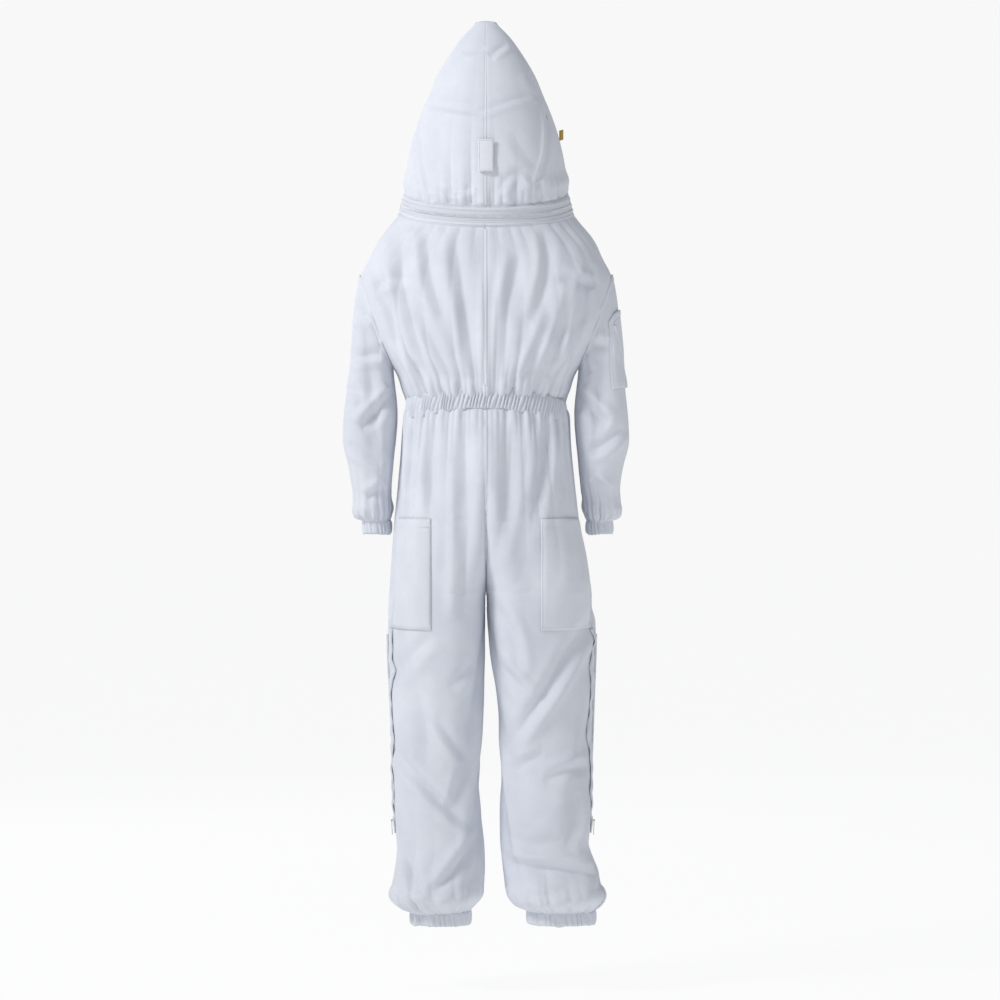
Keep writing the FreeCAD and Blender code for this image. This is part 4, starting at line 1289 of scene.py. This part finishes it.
CLOTH = woven("suit_weave", (0.700, 0.728, 0.790))
HOOD = woven("hood_weave", (0.700, 0.728, 0.790), variation=0.025)
CASING = woven("casing_weave", (0.695, 0.725, 0.788), variation=0.03)
POCKET = woven("pocket_weave", (0.712, 0.738, 0.796), variation=0.03)
SEAM = woven("seam_weave", (0.712, 0.740, 0.798), variation=0.02, weave=0.35)
THREAD = woven("thread", (0.740, 0.765, 0.820), pitch=0.0006, roughness=0.6, variation=0.02)
TAPE = woven("zip_tape_twill", (0.690, 0.720, 0.785), pitch=0.0016, weave=0.8, variation=0.02)
HOOK = woven("hook_and_loop", (0.750, 0.770, 0.810), pitch=0.0022, roughness=0.95, weave=1.0, slub=0.9)
LABEL = woven("label_satin", (0.72, 0.74, 0.80), pitch=0.0008, roughness=0.5)
ELASTIC = woven("elastic_rib", (0.70, 0.71, 0.73), pitch=0.0024, weave=1.0)
TAG = woven("tag_ribbon", (0.46, 0.31, 0.045), pitch=0.0009, roughness=0.55, variation=0.08)
VEIL = netting("veil_netting", (0.012, 0.012, 0.014))
TEETH = moulded("zip_plastic", (0.80, 0.82, 0.86), 0.35)
METAL = moulded("zip_nickel", (0.66, 0.65, 0.63), 0.30, metallic=1.0)
BOW = moulded("hoop_plastic", (0.20, 0.20, 0.22), 0.45)


# The garment

TORSO = make_torso()
LEGS = {side: make_leg(side, sign) for side, sign in SIGNS.items()}
SLEEVES = {side: make_sleeve(side, sign) for side, sign in SIGNS.items()}
HOOD_CLOTH = make_hood()


def make_body():
    last = len(TORSO.points) - 1
    quarters = [(part, side) for side in SIGNS for part in HALVES[side]]
    for number, (part, side) in enumerate(quarters):
        mirror = np.array([SIGNS[side], 1, 1])
        panel(f"{part}_body_{side}", TORSO, (0, last), (number * QUARTER, (number + 1) * QUARTER), CLOTH,
              "suit_cloth", [f"{part}_panel_{side}"], trim=(ARMHOLE_POINT * mirror, ARMHOLE_NORMAL * mirror))
    i = np.linspace(2, last - 9, 120)
    for k, column in (("centre_back", 2 * QUARTER), ("left", QUARTER), ("right", 3 * QUARTER)):
        start = i if k == "centre_back" else rows_between(TORSO, column, -0.235, WAIST_CASING[1], 90)
        seam(f"body_seam_{k}", TORSO, start, column, SEAM, "suit_cloth", width=0.007, height=0.0008)
        for offset in (0.0042, 0.0075) if k == "centre_back" else (0.0045,):
            stitch(TORSO, start, column, offset=-offset)


def make_trousers():
    for side, surface in LEGS.items():
        last = len(surface.points) - 1
        covers = {"front": "lower_front_panel", "back": "seat_panel"}
        for part in HALVES[side]:
            panel(f"{part}_leg_{side}", surface, (0, last), leg_columns(side, part), CLOTH, "suit_cloth",
                  [f"leg_{part}_{side}", f"{covers[part]}_{side}"])
        i = rows_between(surface, QUARTER, WAIST_CASING[0], ANKLE_CASING[1], 260)
        seam(f"side_seam_{side}", surface, i, QUARTER, SEAM, "suit_cloth", height=0.0008)
        for offset in (0.0046, -0.0046):
            stitch(surface, i, QUARTER, offset=offset)
        inner, front = (2 * QUARTER, 0) if side == "left" else (0, 2 * QUARTER)
        for edge, inset, top, bottom, count in ((inner, -1.2, WAIST_CASING[0], CROTCH_Z - 0.01, 90),
                                                (front, 1.2, FRONT_ZIP[0] - 0.01, CROTCH_Z - 0.01, 40),
                                                (inner, -1.4, CROTCH_Z - 0.03, ANKLE_CASING[1], 160)):
            stitch(surface, rows_between(surface, edge, top, bottom, count), edge + inset * SIGNS[side])
    surface = LEGS["left"]
    for name, column, top in (("front", 0, FRONT_ZIP[0]), ("rear", 2 * QUARTER, WAIST_CASING[1])):
        i = rows_between(surface, column, top, CROTCH_Z + 0.012, 90)
        line = surface.at(i, column) * np.array([0, 1, 1])
        normals = unit(surface.facing(i, column) * np.array([0, 1, 0.2]))
        strip(f"centre_seam_{name}", line, normals, SEAM, "torso", "suit_cloth", 0.009, 0.0010)


def make_sleeves():
    for side, surface in SLEEVES.items():
        last = len(surface.points) - 1
        half = surface.points.shape[1] // 2
        for part, first in zip(HALVES[side], (0, half)):
            panel(f"{part}_sleeve_{side}", surface, (0, last), (first, first + half), CLOTH, "suit_cloth",
                  [f"sleeve_{part}_{side}"])
        round_it = np.linspace(0, 2 * half, 260)
        seam(f"armhole_seam_{side}", surface, 0.25, round_it, SEAM, "suit_cloth", width=0.013, height=0.0016)
        for offset in (0.0035, 0.0062):
            stitch(surface, 0.25, round_it, offset=offset, lift=0.0016)
        i = np.linspace(1, last - 8, 140)
        seam(f"sleeve_seam_{side}", surface, i, 0, SEAM, "suit_cloth", height=0.0008)
        stitch(surface, i, 0, offset=0.0046)


def make_hood_pieces():
    surface = HOOD_CLOTH
    last = len(surface.points) - 1
    a, b, c, d, e = (FINE * k for k in HOOD_SEAMS)
    end = surface.points.shape[1]
    chin = int(last * CHIN_SHARE)
    for name, part, columns in (("rear_left", "back_left", (b, c)), ("rear_right", "back_right", (c, d)),
                                ("band_left", "side_left", (a, b)), ("band_right", "side_right", (d, e))):
        panel(f"hood_{name}", surface, (0, last), columns, HOOD, "hood_cloth", [f"hood_{part}"])
    panel("hood_netting", surface, (0, chin), (e, end + a), VEIL, "veil", ["veil_mesh"])
    panel("hood_chin", surface, (chin, last), (e, end + a), HOOD, "hood_cloth", ["chin_panel"])
    i = np.linspace(3, last - 1, 200)
    for name, column, width in (("front_left", a, 0.012), ("rear_left", b, 0.009), ("centre", c, 0.006),
                                ("rear_right", d, 0.009), ("front_right", e, 0.012)):
        seam(f"hood_seam_{name}", surface, i, column, SEAM, "hood_cloth", width=width, height=0.0010)
        for offset in (-0.4 * width - 0.001, 0.4 * width + 0.001):
            stitch(surface, i, column, offset=offset)
    across = np.linspace(e + 1, end + a - 1, 120)
    seam("hood_seam_chin", surface, chin, across, SEAM, "hood_cloth", width=0.014, height=0.0014)
    for offset in (-0.0045, 0.0045):
        stitch(surface, chin, across, offset=offset, lift=0.0012)
    stitch(surface, last - 2, np.linspace(0, end, 500), lift=0.0008)


def pocket_rows(surface, column, span, count=44):
    return rows_between(surface, column, span[1], span[0], count)


def leg_columns(side, part):
    """The columns of one half of a leg's grid."""
    first = HALVES[side].index(part) * QUARTER
    return first, first + QUARTER


def make_pockets():
    for side, surface in LEGS.items():
        sign = SIGNS[side]
        rows = pocket_rows(surface, QUARTER, THIGH_POCKET)
        inner = track(surface, rows, 0, sign * THIGH_POCKET_X, *leg_columns(side, "back"))
        ends = [np.full(len(rows), QUARTER + sign * 4.0), inner]
        pocket(f"thigh_patch_{side}", surface, rows, *ends[::sign], [f"thigh_pocket_{side}"], hem=0.06)
        rows = pocket_rows(surface, QUARTER, HIP_POCKET)
        ends = [track(surface, rows, 0, sign * x, *leg_columns(side, "front")) for x in HIP_POCKET_X]
        pocket(f"hip_patch_{side}", surface, rows, *ends[::sign], ["hip_pockets"])
    for side, columns in (("left", (0, QUARTER)), ("right", (3 * QUARTER, 4 * QUARTER - 1))):
        rows = pocket_rows(TORSO, QUARTER // 2, CHEST_POCKET)
        ends = [track(TORSO, rows, 0, SIGNS[side] * x, *columns) for x in CHEST_POCKET_X]
        pocket(f"chest_patch_{side}", TORSO, rows, *ends[::SIGNS[side]], ["chest_pockets"], hem=0.16)
    surface = SLEEVES["right"]
    half = surface.points.shape[1] // 2
    rows = pocket_rows(surface, half, SLEEVE_POCKET)
    pocket("sleeve_patch", surface, rows, np.full(len(rows), half - 22.0), np.full(len(rows), half + 22.0),
           ["sleeve_pocket"])
    opening = np.linspace(rows[6], rows[-1], 40)
    seam("sleeve_pocket_edge", surface, opening, np.linspace(half - 17, half - 9, 40), SEAM, "pocket_cloth",
         width=0.006, height=0.0035, lift=0.0025)


def teeth_row(name, line, across, normals, size, rule, slot, nodes, side=0):
    """A zip's teeth along a line: small rounded bars, left and right in turn, or on one side only."""
    along = steps_along(line)
    count = int(along[-1] / size[0])
    where = (np.arange(count) + 0.5) * size[0]
    at, w, n = (interpolated(where, along, values) for values in (line, across, normals))
    w, n = unit(w), unit(n)
    t = unit(np.cross(w, n))
    pitch, width, height = size
    turn = np.where(np.arange(count) % 2 == 0, 1, -1)[:, None] if side == 0 else np.full((count, 1), side)
    shift = w * turn * width * 0.18
    corners = []
    for level, share in ((0.0, 1.0), (0.65, 1.0), (1.0, 0.55)):
        for a, b in ((-1, -1), (1, -1), (1, 1), (-1, 1)):
            spread = w * a * width / 2 * share
            corners.append(at + shift + spread + t * b * pitch * 0.33 * share + n * height * level)
    points = np.stack(corners, 1).reshape(-1, 3)
    shape = [(3, 2, 1, 0), (8, 9, 10, 11)]
    shape += [(k + a, k + (a + 1) % 4, k + 4 + (a + 1) % 4, k + 4 + a) for k in (0, 4) for a in range(4)]
    handed = np.dot(np.cross(w[0], t[0]), n[0]) > 0
    shape = [f if handed else f[::-1] for f in shape]
    faces = (np.arange(count)[:, None, None] * 12 + np.array(shape)[None]).reshape(-1, 4)
    obj = mesh_object(name, points.tolist(), faces.tolist())
    finish_mesh(obj, TEETH)
    return piece(obj, rule, slot, *nodes)


def make_leg_zips():
    for side, surface in LEGS.items():
        sign = SIGNS[side]
        z = np.linspace(LEG_ZIP[1], LEG_ZIP[0], 120)
        i = np.array([surface.row_at(h, QUARTER) for h in z])
        first, last = QUARTER // 2, QUARTER + 12
        if side == "right":
            first, last = QUARTER - 12, QUARTER + QUARTER // 2
        edges = ((-TAPE_EDGE_Y, -TEETH_Y), (TEETH_Y, TAPE_EDGE_Y))
        tracks = {y: track(surface, i, 1, y, first, last) for y in (0.0, *edges[0], *edges[1])}
        for number, (a, b) in enumerate(edges):
            rows, columns = between(i, tracks[a], tracks[b], 6)
            grid = surface.at(rows, columns[:, ::sign], 0.0013)
            obj = cloth_mesh(f"leg_tape_{side}_{number}", grid, TAPE, CLOTH_THICKNESS)
            piece(obj, surface.follow, "zip_tape", f"leg_zip_tapes_{side}")
        for y, offset in ((-TAPE_EDGE_Y, 0.002), (TAPE_EDGE_Y, -0.002)):
            stitch(surface, i, tracks[y], offset=offset * sign, lift=0.0016)
            stitch(surface, i, tracks[y], offset=3.2 * offset * sign, lift=0.0016)
        middle = surface.at(i, tracks[0.0], 0.0012)
        normals = surface.facing(i, tracks[0.0])
        across = np.tile(np.array([0, 1.0, 0]), (len(i), 1))
        teeth_row(f"leg_teeth_{side}", middle, across, normals, (0.0026, 0.0042, 0.0018), surface.follow,
                  "zip_teeth", [f"leg_zip_chain_{side}"])


def make_zip_guards():
    """The folded cloth edge that hangs over each leg zip from behind, rippled by its stitching."""
    for side, surface in LEGS.items():
        sign = SIGNS[side]
        z = np.linspace(LEG_ZIP[1] + 0.012, LEG_ZIP[0] - 0.010, 180)
        i = np.array([surface.row_at(h, QUARTER) for h in z])
        first, last = (QUARTER // 2, 2 * QUARTER - 30) if side == "left" else (30, QUARTER + QUARTER // 2)
        near, far = (track(surface, i, 1, y, first, last) for y in GUARD_Y)
        wave = np.sin(2 * np.pi * z / 0.105) + 0.5 * np.sin(2 * np.pi * z / 0.061 + sign)
        share = 0.5 + 0.22 * wave
        column = near * (1 - share) + far * share
        normals = surface.facing(i, column)
        line = surface.at(i, column, 0.0010 + 0.0008 * (1 + np.cos(2 * np.pi * z / 0.035)))
        strip(f"zip_guard_{side}", line, normals, CLOTH, surface.follow, "suit_cloth", 0.013, 0.0030)
        for offset in (-0.0045, 0.0045):
            stitch(surface, i, column, offset=offset, lift=0.0032)


def ring_through(nodes, count=360):
    """A line round the upright axis through the middle of some nodes' points."""
    points = np.concatenate([[v.co[:] for v in NODES[n].data.vertices] for n in nodes])
    angle = np.arctan2(points[:, 0], -points[:, 1]) % (2 * np.pi)
    order = np.argsort(angle)
    angle, points = angle[order], points[order]
    angle = np.concatenate([angle - 2 * np.pi, angle, angle + 2 * np.pi])
    points = np.tile(points, (3, 1))
    width = 2 * np.pi / 90
    out = []
    for middle in np.arange(count) * 2 * np.pi / count:
        near = points[(angle > middle - width) & (angle < middle + width)]
        out.append(0.5 * (near.min(0) + near.max(0)))
    out = blur(np.array(out), 0, 6, True)
    return np.concatenate([out, out[:1]])


def make_neck_teeth():
    lower, upper = ring_through(["neck_zip_teeth"]), ring_through(["hood_zip_teeth"])
    across = unit(upper - lower)
    normals = unit(np.cross(np.gradient(lower, axis=0), across))
    outward = np.sign((normals * lower * np.array([1, 1, 0])).sum(1)).mean()
    normals = normals * outward
    for name, line, body, node, side in (("neck_teeth", lower, "torso", "neck_zip_teeth", 1),
                                         ("hood_teeth", upper, "hood", "hood_zip_teeth", -1)):
        base = line - normals * 0.0006
        teeth_row(name, base, across, normals, (0.0030, 0.0030, 0.0016), body, "zip_teeth", [node], side=side)


def band_up(y):
    """The neck band's upward direction, which leans forwards in front and backwards behind."""
    front = 0.5 * (1 - y / np.hypot(y, NECK_CREST))
    tilt = np.radians(front * NECK_TILT[0] - (1 - front) * NECK_TILT[1])
    return np.stack([0 * y, -np.sin(tilt), np.cos(tilt)], -1)


def tape_edge(name, sign):
    """The outer corner of a neck tape's upper (1) or lower (-1) edge, for each angle round the neck."""
    points = np.array([v.co[:] for v in NODES[name].data.vertices])
    angle = np.arctan2(points[:, 0], -points[:, 1]) % (2 * np.pi)
    outwards = np.hypot(points[:, 0], points[:, 1])
    found = []
    for a in ANGLES:
        gap = np.abs((angle - a + np.pi) % (2 * np.pi) - np.pi)
        near = np.nonzero(gap < np.pi / 45)[0]
        level = outwards[near] + 3 * sign * (points[near] * band_up(points[near, 1])).sum(1)
        best = near[np.argsort(-level)[:4]]
        found.append(points[best].mean(0))
    return blur(np.array(found), 0, 5, True)


def make_neck_bindings():
    """The strips that sew each of the neck's zip tapes to its gathered cloth."""
    for name, tape, sign, surface, row, inward in (("neck_binding", "neck_zip_tape", -1, TORSO, 0, 1),
                                                   ("hood_binding", "hood_zip_tape", 1, HOOD_CLOTH, -1, -2)):
        edge = tape_edge(tape, sign)
        out = unit(edge * np.array([1, 1, 0]))
        up = band_up(edge[:, 1])
        cloth = [at_angles(surface.points[k]) for k in (row, row + inward)]
        normals = at_angles(surface.normals[row + inward])
        rows = [edge - sign * up * 0.0035 + out * 0.0002, edge - sign * up * 0.0030 + out * 0.0012,
                edge + out * 0.0014, 0.5 * (edge + cloth[0]) + out * 0.0016, cloth[0] + normals * 0.0016,
                cloth[1] + normals * 0.0014, cloth[1] - normals * 0.0006]
        grid = np.stack(rows if sign < 0 else rows[::-1])
        grid = np.concatenate([grid, grid[:, :1]], 1)
        binding = Surface(grid, grid, False, surface.follow)
        piece(cloth_mesh(name, grid, SEAM, CLOTH_THICKNESS), surface.follow,
              "suit_cloth" if sign < 0 else "hood_cloth")
        for level in (1.6, 4.4):
            stitch(binding, level, np.arange(RING + 1))


def at_angles(row):
    """A row of a closed grid, resampled at even angles round the neck."""
    angle = np.unwrap(np.arctan2(row[:, 0], -row[:, 1]))
    return np.stack([np.interp(ANGLES, angle, row[:, k], period=2 * np.pi) for k in range(3)], 1)


def make_front_teeth():
    z = np.linspace(FRONT_ZIP[1] - 0.003, FRONT_ZIP[0] + 0.003, 60)
    line = np.stack([np.zeros(60), np.full(60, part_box("front_zip_chain")[1].y - 0.0001), z], 1)
    across = np.tile(np.array([1.0, 0, 0]), (60, 1))
    out = np.tile(np.array([0, -1.0, 0]), (60, 1))
    size = (0.0028, 0.0044, 0.0020)
    teeth_row("front_teeth", line, across, out, size, "torso", "zip_teeth", ["front_zip_chain"])


def make_tab():
    """The hook-and-loop strap: sewn at its top, its free end curls a little away from the hood."""
    lo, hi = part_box("hood_tab")
    v, u = np.meshgrid(np.linspace(0, 1, 30), np.linspace(0, 1, 16), indexing="ij")
    x = hi.x + (lo.x - hi.x) * u
    z = hi.z + (lo.z - hi.z) * v
    y = hi.y - 0.0004 + 0.0035 * v**2 - 0.0015 * (2 * u - 1) ** 2 + 0.0006 * np.sin(9 * v) * v
    grid = np.stack([x, y, z], -1)
    obj = cloth_mesh("hood_strap", grid, HOOK, 0.0018)
    piece(obj, "hood_tab", "hook_and_loop", "hood_tab")
    strap = Surface(grid, grid, False, "hood_tab")
    inset = np.linspace(1.2, 27.8, 30)
    for column in (1.2, 13.8):
        stitch(strap, inset, column)
    for row in (1.2, 27.8):
        stitch(strap, row, np.linspace(1.2, 13.8, 14))


def make_small_pieces():
    surface = HOOD_CLOTH
    lo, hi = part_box("hood_tag")
    e, d = FINE * HOOD_SEAMS[4], FINE * HOOD_SEAMS[3]
    row = surface.row_at(0.5 * (lo.z + hi.z), e)
    y = sampled(surface.points, np.full(e - d, row), np.arange(d, e) * 1.0, True)[:, 1]
    column = d + float(np.interp(-0.002, -y, np.arange(e - d)))
    v, u = np.meshgrid(np.linspace(-1, 1, 12), np.linspace(-1, 1, 10), indexing="ij")
    base = surface.at(row, column)
    normal = surface.facing(row, column)
    side = unit(np.cross(np.array([0, 0, 1.0]), normal))
    grid = base + normal * (0.0022 + 0.0080 * (1 - u**2))[..., None] + side * (u * 0.0045 + 0.002)[..., None]
    grid = grid - np.array([0, 0, 1.0]) * (v * 0.0095)[..., None]
    obj = cloth_mesh("hood_side_tag", grid, TAG, 0.0009)
    piece(obj, "hood", "tag", "hood_tag")


def make_label():
    """A woven label sewn inside the back; its edges show faintly through the cloth."""
    lo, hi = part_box("size_label")
    rows = pocket_rows(TORSO, 2 * QUARTER, (lo.z, hi.z), 16)
    start, end = (track(TORSO, rows, 0, x, QUARTER, 2 * QUARTER) for x in (hi.x, lo.x))
    i, j = between(rows, start, end, 12)
    grid = TORSO.at(i, j, -0.0016)
    piece(cloth_mesh("inner_label", grid, LABEL, 0.0006), "torso", "label", "size_label")
    for k in (0, -1):
        stitch(TORSO, i[k], j[k], lift=0.0001, width=0.0005)
        stitch(TORSO, i[:, k], j[:, k], lift=0.0001, width=0.0005)


def finish_frame_nodes():
    """Gives the part's own nodes that stay in sight their finishes."""
    looks = {"zip_tape": TAPE, "zip_teeth": TEETH, "slider": METAL, "pull": METAL, "hoop": BOW,
             "elastic": ELASTIC, "chain": TEETH}
    for name, obj in NODES.items():
        for word, material in looks.items():
            if word in name:
                obj.data.materials.clear()
                obj.data.materials.append(material)
                break


def make_room():
    scene = bpy.context.scene
    scene.view_settings.view_transform = "Standard"
    camera = bpy.data.objects.new("camera", bpy.data.cameras.new("camera"))
    scene.collection.objects.link(camera)
    camera.location = CAMERA
    camera.rotation_euler = (math.pi / 2, 0, math.pi)
    camera.data.lens = LENS
    scene.camera = camera
    floor = mesh_object("floor", *disc(FLOOR_RADIUS, FLOOR_Z))
    finish_mesh(floor, floor_finish())
    scene.world = studio_air()
    for name, at, size, power in LIGHTS:
        light = bpy.data.lights.new(name, "AREA")
        light.size = size
        light.energy = power
        lamp = bpy.data.objects.new(name, light)
        scene.collection.objects.link(lamp)
        lamp.location = at
        lamp.rotation_euler = (LIGHT_TARGET - Vector(at)).to_track_quat("-Z", "Y").to_euler()


def studio_air():
    """Even studio light, with a paler backdrop behind the object."""
    world = bpy.data.worlds.new("studio")
    world.use_nodes = True
    tree = world.node_tree
    back = tree.nodes["Background"]
    back.inputs["Color"].default_value = (0.90, 0.93, 0.98, 1)
    back.inputs["Strength"].default_value = AMBIENT
    seen = tree.nodes.new("ShaderNodeBackground")
    seen.inputs["Color"].default_value = (*BACKDROP, 1)
    path = tree.nodes.new("ShaderNodeLightPath")
    mix = tree.nodes.new("ShaderNodeMixShader")
    join(tree, path, "Is Camera Ray", mix, 0)
    join(tree, back, 0, mix, 1)
    join(tree, seen, 0, mix, 2)
    tree.links.new(mix.outputs[0], tree.nodes["World Output"].inputs["Surface"])
    return world


def disc(radius, z, count=96):
    angles = np.linspace(0, 2 * np.pi, count, endpoint=False)
    circle = np.stack([np.cos(angles), np.sin(angles), np.zeros(count)], 1)
    shares = np.linspace(0.0, 1, 12)[:, None, None] ** 2 + 1e-4
    points = circle * radius * shares + np.array([0, 0, z])
    return points.reshape(-1, 3).tolist(), grid_faces(12, count, True).tolist()


def floor_finish():
    """Pale studio paper, evenly lit, that keeps a faint soft shadow."""
    material, tree, base = shader("studio_floor", (0.08, 0.08, 0.082), 0.9)
    where = node(tree, "ShaderNodeTexCoord")
    grain = node(tree, "ShaderNodeTexNoise", Scale=3.0, Detail=3.0)
    join(tree, where, "Object", grain, "Vector")
    ramp = node(tree, "ShaderNodeValToRGB")
    ramp.color_ramp.elements[0].color = (0.076, 0.076, 0.078, 1)
    ramp.color_ramp.elements[1].color = (0.084, 0.084, 0.086, 1)
    join(tree, grain, "Fac", ramp, "Fac")
    join(tree, ramp, "Color", base, "Base Color")
    base.inputs["Emission Color"].default_value = (*BACKDROP, 1)
    base.inputs["Emission Strength"].default_value = FLOOR_GLOW
    base.inputs["Specular IOR Level"].default_value = 0.0
    return material


make_room()
make_body()
make_trousers()
make_sleeves()
make_hood_pieces()
make_waist_casing()
for side in ("left", "right"):
    make_limb_casing("wrist", side, SLEEVES[side], *WRIST_CASING, 22, SEED + 71)
    make_limb_casing("ankle", side, LEGS[side], *ANKLE_CASING, 30, SEED + 75)
make_pockets()
make_leg_zips()
make_zip_guards()
make_front_teeth()
make_neck_teeth()
make_neck_bindings()
make_tab()
make_small_pieces()
make_label()
sew_threads(THREAD)
finish_frame_nodes()
